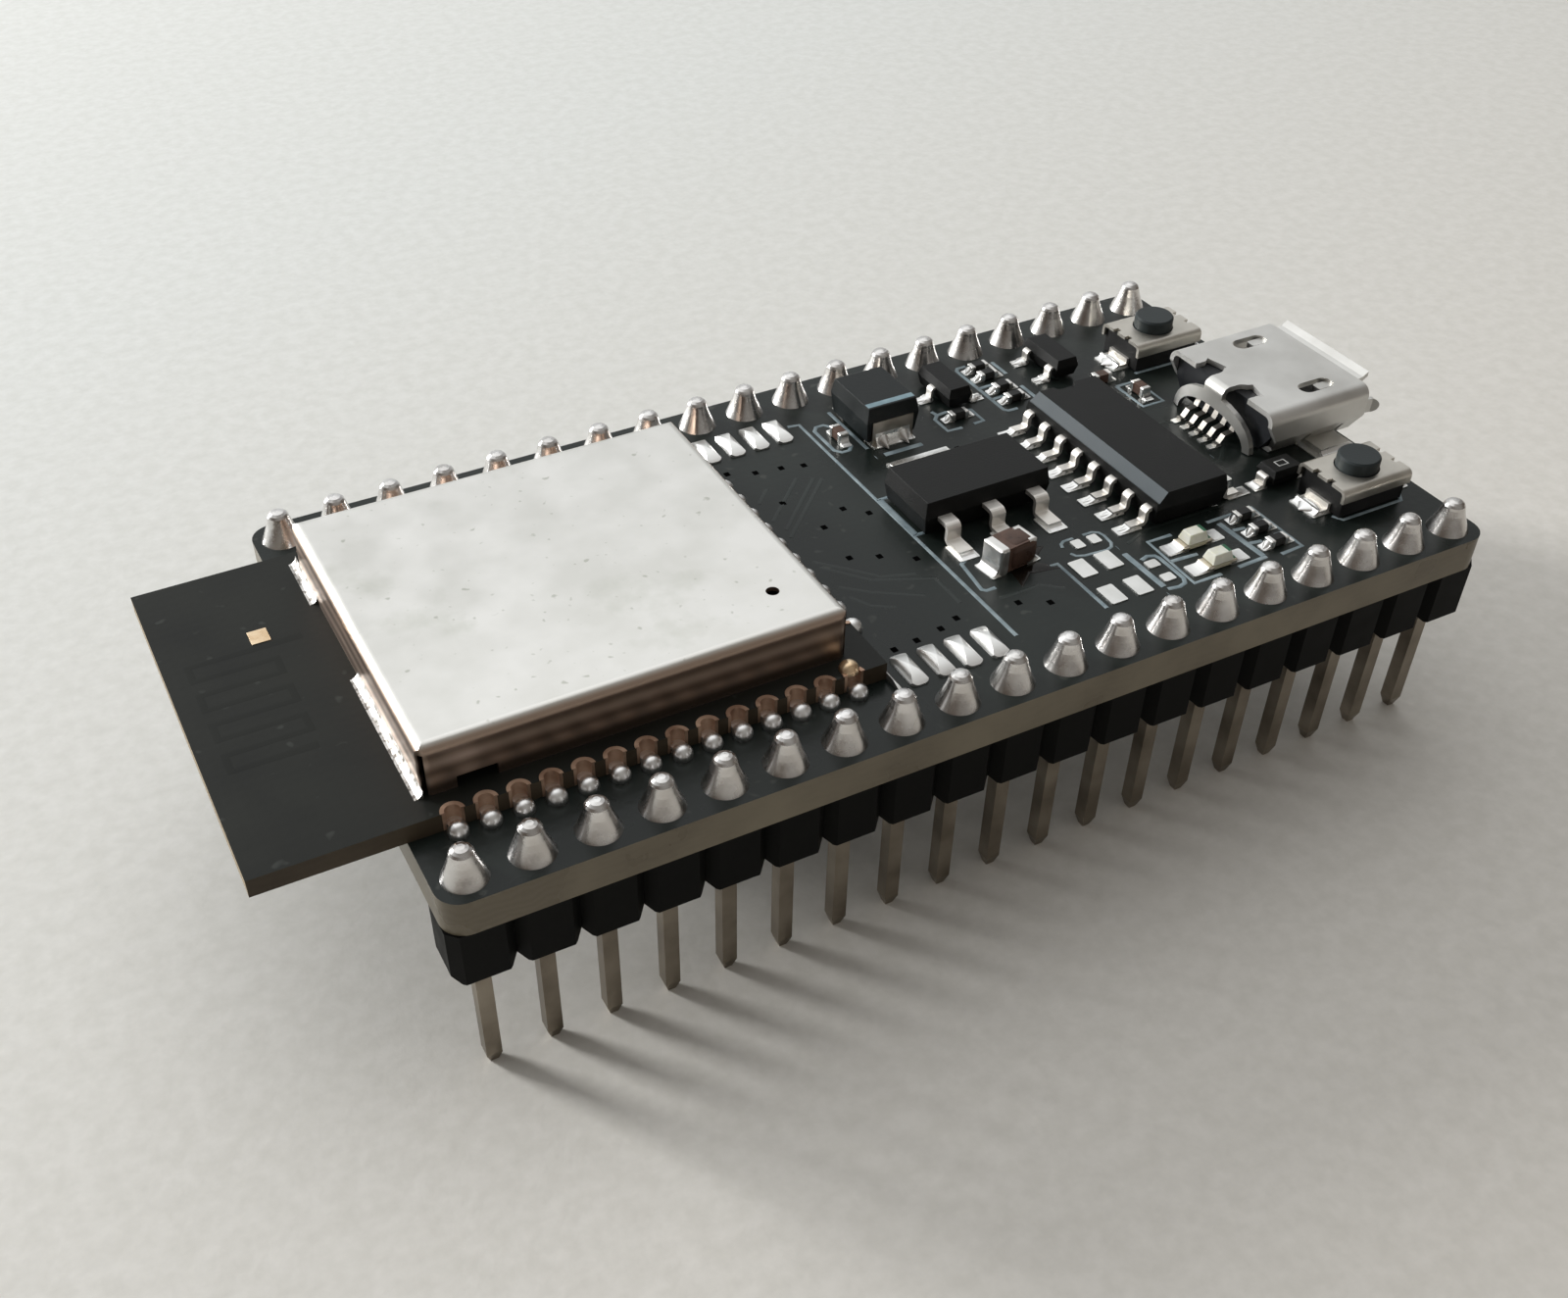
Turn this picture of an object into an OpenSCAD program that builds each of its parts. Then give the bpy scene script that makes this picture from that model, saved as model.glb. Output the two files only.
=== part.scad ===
// Wifi module on its carrier board.  A castellated radio module with a shield can is soldered to a
// board that carries two pin headers, a micro-USB socket, a serial chip, a regulator and two switches.
// The tips of the pins stand on Z = 0, X runs from the antenna to the USB socket, millimetres.

/* [Pin headers] */
// Pins in each row
pins_per_row = 19; // [19:1:24]
// Spacing of the pins along a row
pitch = 2.54; // [2.5:0.01:2.6]
// Distance between the two rows
row_spacing = 22.86; // [22.86:0.1:27.94]
// Side of a square pin
pin_side = 0.64; // [0.5:0.02:0.7]
// Length of a pin below its plastic strip
pin_tail = 6; // [3:0.1:12]
// Length of a pin above the board
pin_rise = 1.4; // [1.2:0.05:2.5]
// Length of the taper at each end of a pin
pin_taper = 0.5; // [0.2:0.05:0.8]
// Side of the flat end of a pin
pin_end = 0.34; // [0.2:0.02:0.45]
// Width of a plastic strip
strip_w = 2.44; // [2:0.02:2.54]
// Height of a plastic strip
strip_h = 2.54; // [2:0.02:3]
// Depth of the grooves between two cells of a strip
strip_notch = 0.42; // [0.2:0.02:0.6]
// Diameter of the foot of a solder cone
cone_d = 1.8; // [1.4:0.05:2]
// Diameter of a solder cone below its rounded tip
cone_tip = 0.96; // [0.94:0.02:1.2]
// Height of a cone's rounded tip
cone_cap = 0.36; // [0.2:0.02:0.4]
// Thickness of the solder over the end of a pin
cone_film = 0.06; // [0.04:0.01:0.1]

/* [Carrier board] */
// Thickness of the carrier board
board_t = 1.6; // [1:0.1:2.4]
// Corner radius of the carrier board
board_r = 1; // [0.3:0.1:1.2]
// Diameter of a plated pin hole
hole_d = 1; // [0.95:0.05:1.2]
// Thickness of the tinned copper pads
pad_t = 0.05; // [0.03:0.01:0.1]
// Distance by which a solder fillet runs past a part
toe = 0.35; // [0.15:0.05:0.45]

/* [Radio module] */
// Length of the radio module
module_l = 25.5; // [24:0.1:26]
// Width of the radio module
module_w = 18; // [17:0.1:18.4]
// Thickness of the radio module's board
module_t = 0.8; // [0.6:0.1:1.2]
// Distance by which the antenna end passes the carrier board
antenna_overhang = 5.7; // [0:0.1:7]
// Castellations along each long side
castle_count = 14; // [8:1:14]
// Castellations along the inner end
end_count = 10; // [4:1:12]
// Spacing of the castellations
castle_pitch = 1.27; // [1.2:0.01:1.3]
// Distance from the inner end to the nearest castellation
castle_inner = 1.49; // [1:0.01:2]
// Outer diameter of a castellation's plating
castle_d = 0.84; // [0.7:0.02:0.95]
// Wall of a castellation's plating
castle_wall = 0.12; // [0.05:0.01:0.15]
// Diameter of a ball of solder at a castellation
ball_d = 0.82; // [0.6:0.02:0.9]
// Distance a ball of solder stands out over the carrier
ball_reach = 0.78; // [0.7:0.02:1]
// Height of a ball of solder
ball_h = 0.54; // [0.42:0.02:0.7]
// Spare pad positions left beyond the module on each side
spare_count = 5; // [2:1:5]
// Length of a spare pad
spare_l = 2; // [1.2:0.1:2.2]
// Width of a spare pad
spare_w = 0.84; // [0.6:0.02:0.9]
// Distance a spare pad runs out beyond the module's side
spare_reach = 1; // [0.8:0.05:1.2]
// Height of the solder dome on a spare pad
spare_h = 0.36; // [0.1:0.02:0.4]

/* [Shield can] */
// Distance from the antenna end to the shield can
shield_from_end = 6.8; // [6.3:0.1:7]
// Distance from the shield can to the module's inner end
shield_inner = 1.15; // [0.8:0.05:1.6]
// Distance from the shield can to each long side of the module
shield_side = 1.1; // [1:0.05:1.6]
// Height of the shield can
shield_h = 2.3; // [2.2:0.1:3]
// Thickness of its sheet
sheet_t = 0.2; // [0.15:0.01:0.3]
// Outer bend radius of its edges
shield_r = 0.4; // [0.35:0.05:0.6]
// Width of the open slit down each folded corner
slit_w = 0.22; // [0.1:0.02:0.3]
// Diameter of the orientation hole
orient_d = 0.55; // [0.3:0.05:0.8]
// Distance of the orientation hole from the inner edge
orient_x = 2.1; // [1.5:0.1:4]
// Distance of the orientation hole from the near edge
orient_y = 2.4; // [1.5:0.1:4]
// Width of a window at the foot of the can
window_w = 1.6; // [1:0.1:2.4]
// Height of a window at the foot of the can
window_h = 0.5; // [0.3:0.05:0.8]
// Side of the radio chip under the can
radio_w = 5; // [4:0.1:6]
// Height of the radio chip
radio_h = 0.9; // [0.7:0.05:1]
// Side of the memory chip's body
flash_w = 5.2; // [4:0.1:5.4]
// Height of the memory chip's body
flash_h = 1.5; // [1.2:0.05:1.7]

/* [Small parts] */
// Length of a chip resistor or a small chip capacitor
res_l = 1; // [0.9:0.05:1.2]
// Width of a chip resistor or a small chip capacitor
res_w = 0.5; // [0.45:0.05:0.6]
// Height of a chip resistor
res_h = 0.35; // [0.3:0.05:0.4]
// Height of a small chip capacitor
cap_h = 0.5; // [0.4:0.05:0.6]
// Length of the large chip capacitor
bulk_l = 2; // [1.8:0.1:3.2]
// Width of the large chip capacitor
bulk_w = 1.25; // [1.1:0.05:1.6]
// Height of the large chip capacitor
bulk_h = 1.25; // [0.8:0.05:1.6]
// Share of a chip part's length under each metal end
end_share = 0.22; // [0.15:0.01:0.3]
// Length of a light
led_l = 1.6; // [1.4:0.05:1.7]
// Width of a light
led_w = 0.8; // [0.7:0.05:0.9]
// Height of a light
led_h = 0.65; // [0.5:0.05:0.8]
// Height of a light's base plate
led_base = 0.2; // [0.15:0.01:0.25]
// Distance by which a light's pads run past its ends
led_pad = 0.7; // [0.3:0.05:0.9]
// Length of the moulded tantalum capacitor
tant_l = 3.5; // [3.2:0.1:3.6]
// Width of the moulded tantalum capacitor
tant_w = 2.8; // [2.4:0.1:2.9]
// Height of the moulded tantalum capacitor
tant_h = 1.9; // [1.6:0.1:2.1]
// Thickness of its wrapped terminals
tant_term_t = 0.13; // [0.1:0.01:0.2]
// Width of its wrapped terminals
tant_term_w = 2.2; // [1.6:0.1:2.3]

/* [Serial chip] */
// Leads along each side
chip_leads = 8; // [4:1:8]
// Spacing of the leads
chip_pitch = 1.27; // [1.2:0.01:1.3]
// Width of the moulded body
chip_w = 3.9; // [3.7:0.1:4.1]
// Height of the moulded body
chip_h = 1.5; // [1.3:0.05:1.7]
// Distance between the toes of opposite leads
chip_span = 6; // [5.8:0.05:6.2]
// Width of the bevel along the first lead's side
chip_bevel = 0.45; // [0.2:0.05:0.5]
// Width of a lead
lead_w = 0.42; // [0.3:0.02:0.5]
// Thickness of a lead
lead_t = 0.2; // [0.15:0.01:0.25]
// Length of a lead's flat foot
lead_foot = 0.6; // [0.4:0.05:0.7]
// Distance by which the solder runs past a lead
chip_toe = 0.65; // [0.2:0.05:0.7]

/* [Regulator] */
// Length of the regulator's body
reg_l = 6.5; // [6:0.1:6.8]
// Width of the regulator's body
reg_w = 3.5; // [3.2:0.1:3.7]
// Height of the regulator's body
reg_h = 1.6; // [1.4:0.05:1.8]
// Spacing of its three leads
reg_pitch = 2.3; // [2.1:0.05:2.4]
// Width of one of its leads
reg_lead_w = 0.7; // [0.6:0.05:0.9]
// Width of its heat tab
reg_tab_w = 3; // [2.6:0.1:3.2]
// Distance that leads and tab stand out of the body
reg_reach = 1.85; // [1.7:0.05:1.95]
// Distance by which the solder runs past the heat tab
tab_toe = 0.55; // [0.2:0.05:0.6]

/* [Diode and transistors] */
// Length of the diode's body
diode_l = 1.7; // [1.5:0.05:1.8]
// Width of the diode's body
diode_w = 1.25; // [1.1:0.05:1.3]
// Height of the diode's body
diode_h = 0.85; // [0.75:0.05:1]
// Width of a transistor's body
trans_w = 1.3; // [1.2:0.05:1.4]
// Length of a transistor's body
trans_l = 2.9; // [2.8:0.05:3]
// Height of a transistor's body
trans_h = 1.05; // [0.9:0.05:1.2]
// Distance between the two leads on a transistor's side
trans_pitch = 1.9; // [1.8:0.05:2]

/* [USB socket] */
// Distance of the socket and the switches from the board's centre line
usb_y = -0.2; // [-0.4:0.05:0.4]
// Outer width of the shell
usb_w = 7.3; // [7.1:0.05:7.5]
// Outer height of the shell
usb_h = 2.5; // [2.4:0.05:2.8]
// Length of the shell
usb_l = 5.75; // [5.4:0.05:6]
// Sheet thickness of the shell
usb_t = 0.25; // [0.2:0.01:0.3]
// Bend radius of the shell's upper edges
usb_r = 0.55; // [0.4:0.05:0.8]
// Height at which the side walls lean inwards
usb_knee = 1.05; // [0.8:0.05:1.2]
// Outer width across the bottom of the shell
usb_bottom_w = 5.9; // [5.5:0.05:6.2]
// Distance the shell passes the end of the carrier board
usb_overhang = 0.65; // [0.3:0.05:1]
// Length of the flared lips at the mouth
lip_reach = 0.55; // [0.3:0.05:0.7]
// Distance the lips flare outwards
lip_flare = 0.25; // [0.1:0.05:0.4]
// Spacing of the five contacts
contact_pitch = 0.65; // [0.6:0.01:0.66]
// Width of a contact
contact_w = 0.3; // [0.2:0.02:0.34]
// Thickness of a contact
contact_t = 0.12; // [0.1:0.01:0.15]
// Length of a contact's foot
contact_foot = 0.35; // [0.25:0.05:0.5]
// Width of the tongue that carries the contacts
tongue_w = 3.7; // [3.5:0.05:4]
// Thickness of the tongue
tongue_t = 0.6; // [0.5:0.05:0.65]
// Length of a soldered foot of the shell
leg_l = 1.7; // [1.2:0.1:1.8]
// Distance the soldered feet stand out of the shell
leg_out = 0.55; // [0.3:0.05:0.6]

/* [Switches] */
// Distance from the socket's centre line to a switch
switch_y = 7.25; // [7.2:0.05:7.8]
// Length of a switch's cover
cover_l = 3.9; // [3.7:0.05:4.1]
// Width of a switch's plastic base
base_w = 2.6; // [2.5:0.05:2.8]
// Height of a switch's plastic base
base_h = 1.3; // [1.2:0.05:1.6]
// Sheet thickness of a switch's cover
cover_t = 0.16; // [0.1:0.01:0.2]
// Diameter of a plunger
plunger_d = 1.9; // [1.6:0.05:2]
// Height of a plunger above the cover
plunger_rise = 0.6; // [0.4:0.05:1]
// Travel of a plunger
travel = 0.25; // [0.15:0.01:0.3]
// Running clearance round a plunger
plunger_gap = 0.05; // [0.03:0.01:0.08]
// Width of the collar that keeps a plunger in
collar = 0.2; // [0.15:0.01:0.25]
// Width of a switch's terminals
term_w = 1.4; // [1:0.05:1.8]
// Thickness of a switch's terminals
term_t = 0.15; // [0.1:0.01:0.2]
// Height to which the terminals climb the switch's base
term_rise = 0.42; // [0.3:0.02:0.7]
// Distance the terminals stand out of the cover
term_out = 0.5; // [0.3:0.05:0.6]

/* [Hidden] */
$fn = 48;

// Carrier board
board_l = pins_per_row * pitch;
board_w = row_spacing + pitch;
overall_l = antenna_overhang + board_l + usb_overhang + lip_reach;
module_x = -overall_l / 2;
board_x = module_x + antenna_overhang;
usb_x = board_x + board_l;
board_z = pin_tail + strip_h;
top_z = board_z + board_t;
pad_z = top_z + pad_t;

// Pins and their solder
pin_l = pin_tail + strip_h + board_t + pin_rise;
cone_h = pin_rise + cone_film;

// Radio module
module_top = top_z + module_t;
castle_r = castle_d / 2;
barrel_r = castle_r - castle_wall;
castle_last = module_l - castle_inner;
flange_t = 0.04;
flange_w = 0.05;
shield_l = module_l - shield_from_end - shield_inner;
shield_w = module_w - 2 * shield_side;
shield_cx = module_x + shield_from_end + shield_l / 2;
inner_h = shield_h - sheet_t;

// Spots of the small parts: distance back from the board's USB end, distance from its centre
// line and turn about Z.
resistor_spots = [[11.93, 9.55, 0], [11.93, 8.7, 0], [11.93, 7.4, 0], [11.93, 6.35, 0],
    [8.75, -6.75, 0], [8.75, -7.85, 0], [8.75, -8.95, 0], [15.28, 6.2, 0]];
capacitor_spots = [[21.28, 7.2, 90], [6.13, 4, 90], [7.2, 5.75, 0]];
bulk_spot = [19.83, -4.75, 7];
led_spots = [[11.93, -7.25, 0], [11.93, -8.9, 0]];
tantalum_spot = [19.13, 7.65, -90];
regulator_spot = [18.83, 0.1, 0];
chip_spot = [10.78, -0.65, 0];
diode_spot = [5.3, -5.05, 0];
transistor_spots = [[14.73, 8.3, 180], [8.53, 8.2, 0]];
bare_pads = [[16.38, -5.05, 0.5, 0.6], [15.53, -5.05, 0.5, 0.6], [17.25, -6.6, 0.8, 1.2],
    [15.9, -6.6, 0.8, 1.2], [17.25, -8.65, 0.8, 1.2], [15.9, -8.65, 0.8, 1.2],
    [14.43, -7.7, 0.6, 0.5], [14.43, -8.75, 0.6, 0.5]];

// Moulded bodies
standoff = 0.1;
draft = 0.12;
lead_r = 0.3;
chip_l = (chip_leads - 1) * chip_pitch + 1.01;
lead_rise = (chip_h + standoff - lead_t) / 2;
chip_reach = (chip_span - chip_w) / 2;
small_lead_t = 0.13;
small_lead_w = 0.42;
small_foot = 0.4;
small_reach = 0.55;
diode_lead_w = 0.55;
diode_reach = 0.4;
diode_foot = 0.15;

// USB socket
usb_back = board_l + usb_overhang - usb_l;
flap_bend = 0.42;
flap_swing = 12;
neck_w = 1.25;
bite_l = 1.05;
bite_end = 2.05;
side_cut = 0.9;
side_cut_z = 1.85;
window_x = 3.6;
window_y = 2.3;
insulator_back = 0.35;
insulator_l = 1.3;
insulator_gap = 0.03;
tongue_z = 1;
tongue_l = 3.3;
contact_reach = insulator_back + 0.95;
leg_x = 3.75;
leg_y = usb_bottom_w / 2 - usb_t;
leg_end = usb_w / 2 + leg_out;

// Switches
switch_x = usb_x - 3.25;
base_l = cover_l - 2 * term_t;
cover_w = base_w + 2 * cover_t;
cover_top = base_h + cover_t;
cover_r = 0.3;
cover_skirt = 0.65;
notch_y = 0.45;
notch_w = 0.3;
collar_t = 0.2;
collar_gap = 0.02;
collar_r = plunger_d / 2 + collar;
well_r = collar_r + plunger_gap;
dome_top = base_h - collar_gap - collar_t;
dome_rise = travel + 0.13;
dome_t = 0.06;
dome_r = collar_r - 0.05;
well_z = dome_top - dome_rise;

// ---- Shapes used by several parts ----

// Flat plate with rounded corners, centred in X and Y
module slab(l, w, h, r) {
    linear_extrude(h) {
        square([l - 2 * r, w], center = true);
        square([l, w - 2 * r], center = true);
        for (sx = [-1, 1], sy = [-1, 1])
            translate([sx * (l / 2 - r), sy * (w / 2 - r)]) circle(r);
    }
}

// Outline standing on Y = 0 with its two upper corners rounded
module arch(span, h, r) {
    translate([-span / 2, 0]) square([span, h - r]);
    translate([r - span / 2, 0]) square([span - 2 * r, h]);
    for (s = [-1, 1]) translate([s * (span / 2 - r), h - r]) circle(r);
}

// Turns an outline into a bar along X or along Y, centred, with the outline's Y as height
module bar_x(l) rotate([90, 0, 90]) translate([0, 0, -l / 2]) linear_extrude(l) children();
module bar_y(l) rotate([90, 0, 0]) translate([0, 0, -l / 2]) linear_extrude(l) children();

// Block with its upright edges and its top edges bent round
module folded_block(l, w, h, r) {
    intersection() {
        slab(l, w, h, r);
        bar_y(w + 1) arch(l, h, r);
        bar_x(l + 1) arch(w, h, r);
    }
}

// Side view of a moulding: widest at the seam, drawn in towards top and bottom
module draft_outline(span, h, seam) {
    polygon([[draft - span / 2, 0], [-span / 2, seam], [draft - span / 2, h],
        [span / 2 - draft, h], [span / 2, seam], [span / 2 - draft, 0]]);
}

module moulded_body(l, w, h, seam) {
    intersection() {
        bar_y(w + 1) draft_outline(l, h, seam);
        bar_x(l + 1) draft_outline(w, h, seam);
    }
}

// Quarter of a ring of points from angle a to angle b
function arc(cx, cy, r, a, b, n = 5) =
    [for (i = [0:n]) let (t = a + (b - a) * i / n) [cx + r * cos(t), cy + r * sin(t)]];

// Gull-wing lead that leaves a body at X = 0 and stands on Z = 0 at X = reach
module gull_lead(reach, foot, rise, t, w, r) {
    s = reach - foot - 2 * r + t;
    up = rise + t - r;
    bar_y(w) polygon(concat([[0, rise + t]], arc(s, up, r, 90, 0),
        arc(s + 2 * r - t, r, r - t, 180, 270), [[reach, t], [reach, 0]],
        arc(s + 2 * r - t, r, r, 270, 180), arc(s, up, r - t, 0, 90), [[0, rise]]));
}

// Hollow solder slope that falls from X = 0 to X = reach
module slope(reach, rise, w) {
    bar_y(w) polygon(concat([[0, 0], [0, rise]],
        [for (i = [1:5]) [reach * (1 - cos(18 * i)), rise * (1 - sin(18 * i))]]));
}

// Radius of an arch of height h over a span
function crown(span, h) = (span * span / 4 + h * h) / (2 * h);

// Dome of solder on a long pad that runs along Y, falling off towards its ends
module bead(l, w, h) {
    side = crown(w, h * 0.96);
    end = crown(l, h * 0.8);
    intersection() {
        slab(w, l, h, w * 0.35);
        translate([0, 0, h - side]) rotate([90, 0, 0]) cylinder(r = side, h = l, center = true);
        translate([0, 0, h - end]) rotate([0, 90, 0]) cylinder(r = end, h = w, center = true);
    }
}

// Puts a part at its spot on the carrier board's pads
module at(spot) translate([usb_x - spot[0], spot[1], pad_z]) rotate(spot[2]) children();

module each_spot(spots) for (s = spots) at(s) children();

// Two-ended chip part: ceramic middle, metal ends, pads and solder
module chip_middle(l, w, h) {
    e = l * end_share;
    translate([0, 0, 0.02]) slab(l - 2 * e, w - 0.04, h - 0.04, 0.02);
}

module chip_ends(l, w, h) {
    e = l * end_share;
    for (s = [-1, 1]) intersection() {
        folded_block(l, w, h, min(e, w) * 0.3);
        translate([s * (l - e) / 2, 0, h / 2]) cube([e, w, h], center = true);
    }
}

module chip_pads(l, w, past = toe) {
    e = l * end_share;
    for (s = [-1, 1]) translate([s * (l / 2 - e / 2 + past / 2), 0, -pad_t])
        slab(e + past, w, pad_t, 0.08);
}

module chip_solder(l, w, h, past = toe) {
    for (s = [0, 180]) rotate(s) translate([l / 2, 0, 0]) slope(past, h * 0.6, w * 0.85);
}

// ---- Carrier board and pin headers ----

module each_pin(side) for (i = [0:pins_per_row - 1])
    translate([board_x + (i + 0.5) * pitch, side * row_spacing / 2, 0]) children();

module carrier_board() color([0.07, 0.08, 0.09]) difference() {
    translate([board_x + board_l / 2, 0, board_z]) slab(board_l, board_w, board_t, board_r);
    for (side = [-1, 1]) each_pin(side)
        translate([0, 0, board_z - 1]) cylinder(d = hole_d, h = board_t + 2);
}

// One cell per pin, grooved between the cells so that the strip can be snapped to length
module header_strip(side) color([0.06, 0.06, 0.06]) difference() {
    translate([board_x, side * row_spacing / 2 - strip_w / 2, pin_tail])
        cube([board_l, strip_w, strip_h]);
    for (i = [0:pins_per_row]) translate([board_x + i * pitch, side * row_spacing / 2, pin_tail]) {
        for (s = [-1, 1]) translate([0, s * strip_w / 2, -1]) rotate(45)
            cube([strip_notch * sqrt(2), strip_notch * sqrt(2), 2 * strip_h + 4], center = true);
        rotate([0, 45, 0]) cube([strip_notch, strip_w + 1, strip_notch], center = true);
    }
    each_pin(side) translate([0, 0, pin_tail + strip_h / 2])
        cube([pin_side, pin_side, strip_h + 1], center = true);
}

module pin_outline() polygon([[-pin_end / 2, 0], [-pin_side / 2, pin_taper],
    [-pin_side / 2, pin_l - pin_taper], [-pin_end / 2, pin_l], [pin_end / 2, pin_l],
    [pin_side / 2, pin_l - pin_taper], [pin_side / 2, pin_taper], [pin_end / 2, 0]]);

module pin() intersection() {
    bar_x(pin_side + 1) pin_outline();
    bar_y(pin_side + 1) pin_outline();
}

module header_pins(side) color([0.55, 0.5, 0.42]) each_pin(side) pin();

// The solder fills the plated hole, climbs the pin in a cone and closes over its tip
module pin_solder(side) color([0.78, 0.78, 0.78]) each_pin(side) difference() {
    translate([0, 0, top_z]) rotate_extrude() polygon(concat([[0, -board_t], [hole_d / 2, -board_t],
        [hole_d / 2, 0]], [for (i = [0:4]) let (t = i / 4)
        [cone_tip / 2 + (cone_d - cone_tip) / 2 * pow(1 - t, 1.2), (cone_h - cone_cap) * t]],
        [for (i = [1:5]) [cone_tip / 2 * cos(18 * i), cone_h - cone_cap * (1 - sin(18 * i))]]));
    pin();
}

// ---- Radio module ----

// Castellation places: distance along the module, half-width side and turn
module each_side_castle(side) for (i = [0:castle_count - 1])
    translate([module_x + castle_last - i * castle_pitch, side * module_w / 2, top_z])
        rotate(side * 90) children();

module each_end_castle() for (i = [0:end_count - 1])
    translate([module_x + module_l, (i - (end_count - 1) / 2) * castle_pitch, top_z]) children();

module each_castle() {
    each_side_castle(-1) children();
    each_side_castle(1) children();
    each_end_castle() children();
}

module module_board() color([0.13, 0.14, 0.14]) difference() {
    translate([module_x, -module_w / 2, top_z]) cube([module_l, module_w, module_t]);
    each_castle() translate([0, 0, -1]) cylinder(r = castle_r, h = module_t + 2);
}

// Plated half holes with a flange on the module's top face
module castellations() color([0.45, 0.26, 0.18]) each_castle() intersection() {
    rotate_extrude() polygon([[barrel_r, 0], [castle_r, 0], [castle_r, module_t],
        [castle_r + flange_w, module_t], [castle_r + flange_w, module_t + flange_t],
        [barrel_r, module_t + flange_t]]);
    translate([-2, -1, -1]) cube([2, 2, module_t + 2]);
}

// Solder at the foot of a half hole, drawn into a ball on the carrier's pad
module castle_solder() color([0.82, 0.82, 0.82]) {
    intersection() {
        cylinder(r = barrel_r, h = ball_h / 2);
        translate([-1, -1, 0]) cube([1, 2, module_t]);
    }
    intersection() {
        translate([ball_reach - ball_d / 2, 0, ball_h - ball_d / 2]) sphere(d = ball_d);
        translate([0, -1, 0]) cube([2, 2, module_t]);
    }
    translate([0, -barrel_r * 0.9, 0])
        cube([ball_reach - ball_d / 2, 2 * barrel_r * 0.9, ball_h / 2]);
}

module module_solder(side) each_side_castle(side) castle_solder();

module module_solder_end() each_end_castle() castle_solder();

// Tinned pads for a longer module stay free beside it
module spare_solder() color([0.85, 0.85, 0.85]) difference() {
    for (side = [-1, 1], i = [1:spare_count])
        translate([module_x + castle_last + i * castle_pitch,
            side * (module_w / 2 + spare_reach - spare_l / 2), top_z])
            bead(spare_l, spare_w, spare_h);
    translate([module_x, -module_w, 0]) cube([module_l, 2 * module_w, module_top]);
}

// ---- Shield can and what it covers ----

module shield_can() color([0.8, 0.79, 0.76]) translate([shield_cx, 0, module_top]) difference() {
    folded_block(shield_l, shield_w, shield_h, shield_r);
    translate([0, 0, -1]) folded_block(shield_l - 2 * sheet_t, shield_w - 2 * sheet_t,
        inner_h + 1, shield_r - sheet_t);
    for (sx = [-1, 1], sy = [-1, 1]) translate([sx * shield_l / 2, sy * shield_w / 2, -1])
        rotate(45 * sx * sy) cube([3 * shield_r, slit_w, 2 * (shield_h - shield_r + 1)], center = true);
    translate([shield_l / 2 - orient_x, orient_y - shield_w / 2, 0])
        cylinder(d = orient_d, h = shield_h + 1);
    translate([-shield_l * 0.38, 0, 0]) cube([window_w, shield_w + 1, 2 * window_h], center = true);
}

// Solder run along the can's foot on the antenna side
module shield_solder() color([0.85, 0.85, 0.84])
    for (run = [[-0.26, 0.48], [0.42, 0.2]])
        translate([module_x + shield_from_end, run[0] * shield_w, module_top])
            rotate(180) slope(toe, toe, run[1] * shield_w);

module radio_chip() color([0.1, 0.1, 0.1])
    translate([shield_cx + shield_l * 0.12, shield_w * 0.14, module_top])
        moulded_body(radio_w, radio_w, radio_h, radio_h / 3);

module flash_chip() color([0.12, 0.12, 0.12])
    translate([shield_cx + shield_l * 0.12, -shield_w * 0.27, module_top]) {
        translate([0, 0, standoff]) moulded_body(flash_w, flash_w, flash_h, flash_h / 2);
        for (s = [0, 180], i = [-1.5:1.5]) rotate(s) translate([flash_w / 2, i * chip_pitch, 0])
            gull_lead(chip_reach, lead_foot, (flash_h + standoff) / 2, lead_t, lead_w, lead_r);
    }

module crystal_can() color([0.75, 0.75, 0.72])
    translate([shield_cx - shield_l * 0.26, shield_w * 0.2, module_top]) {
        slab(3.2, 2.5, 0.5, 0.2);
        slab(2.9, 2.2, 0.75, 0.2);
    }

module module_passives() color([0.55, 0.4, 0.28])
    for (i = [0:5], j = [0:2]) translate([shield_cx - shield_l * (0.42 - 0.06 * i),
        -shield_w * (0.1 + 0.12 * j), module_top]) slab(0.5, 1, 0.5, 0.05);

// ---- Moulded parts ----

module serial_chip_body() color([0.17, 0.17, 0.17]) at(chip_spot) translate([0, 0, standoff])
    difference() {
        moulded_body(chip_w, chip_l, chip_h, chip_h / 2);
        translate([draft - chip_w / 2, 0, chip_h]) rotate([0, 45, 0])
            cube([chip_bevel * sqrt(2), chip_l + 1, chip_bevel * sqrt(2)], center = true);
        translate([0, chip_l / 2, chip_h - 0.25]) cylinder(r = 0.6, h = 1);
    }

module each_chip_lead() for (s = [0, 180], i = [0:chip_leads - 1])
    rotate(s) translate([chip_w / 2, (i - (chip_leads - 1) / 2) * chip_pitch, 0]) children();

module serial_chip_leads() color([0.8, 0.78, 0.74]) at(chip_spot) each_chip_lead()
    gull_lead(chip_reach, lead_foot, lead_rise, lead_t, lead_w, lead_r);

module regulator_body() color([0.12, 0.12, 0.12]) at(regulator_spot) translate([0, 0, standoff])
    moulded_body(reg_l, reg_w, reg_h, reg_h / 2);

module each_reg_lead() for (i = [-1:1]) translate([i * reg_pitch, -reg_w / 2, 0])
    rotate(-90) children();

module regulator_leads() color([0.8, 0.78, 0.74]) at(regulator_spot) {
    reg_rise = (reg_h + standoff - lead_t) / 2;
    each_reg_lead() gull_lead(reg_reach, lead_foot * 1.5, reg_rise, lead_t, reg_lead_w, lead_r);
    translate([0, reg_w / 2, 0]) rotate(90)
        gull_lead(reg_reach, lead_foot * 1.5, reg_rise, lead_t, reg_tab_w, lead_r);
}

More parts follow.
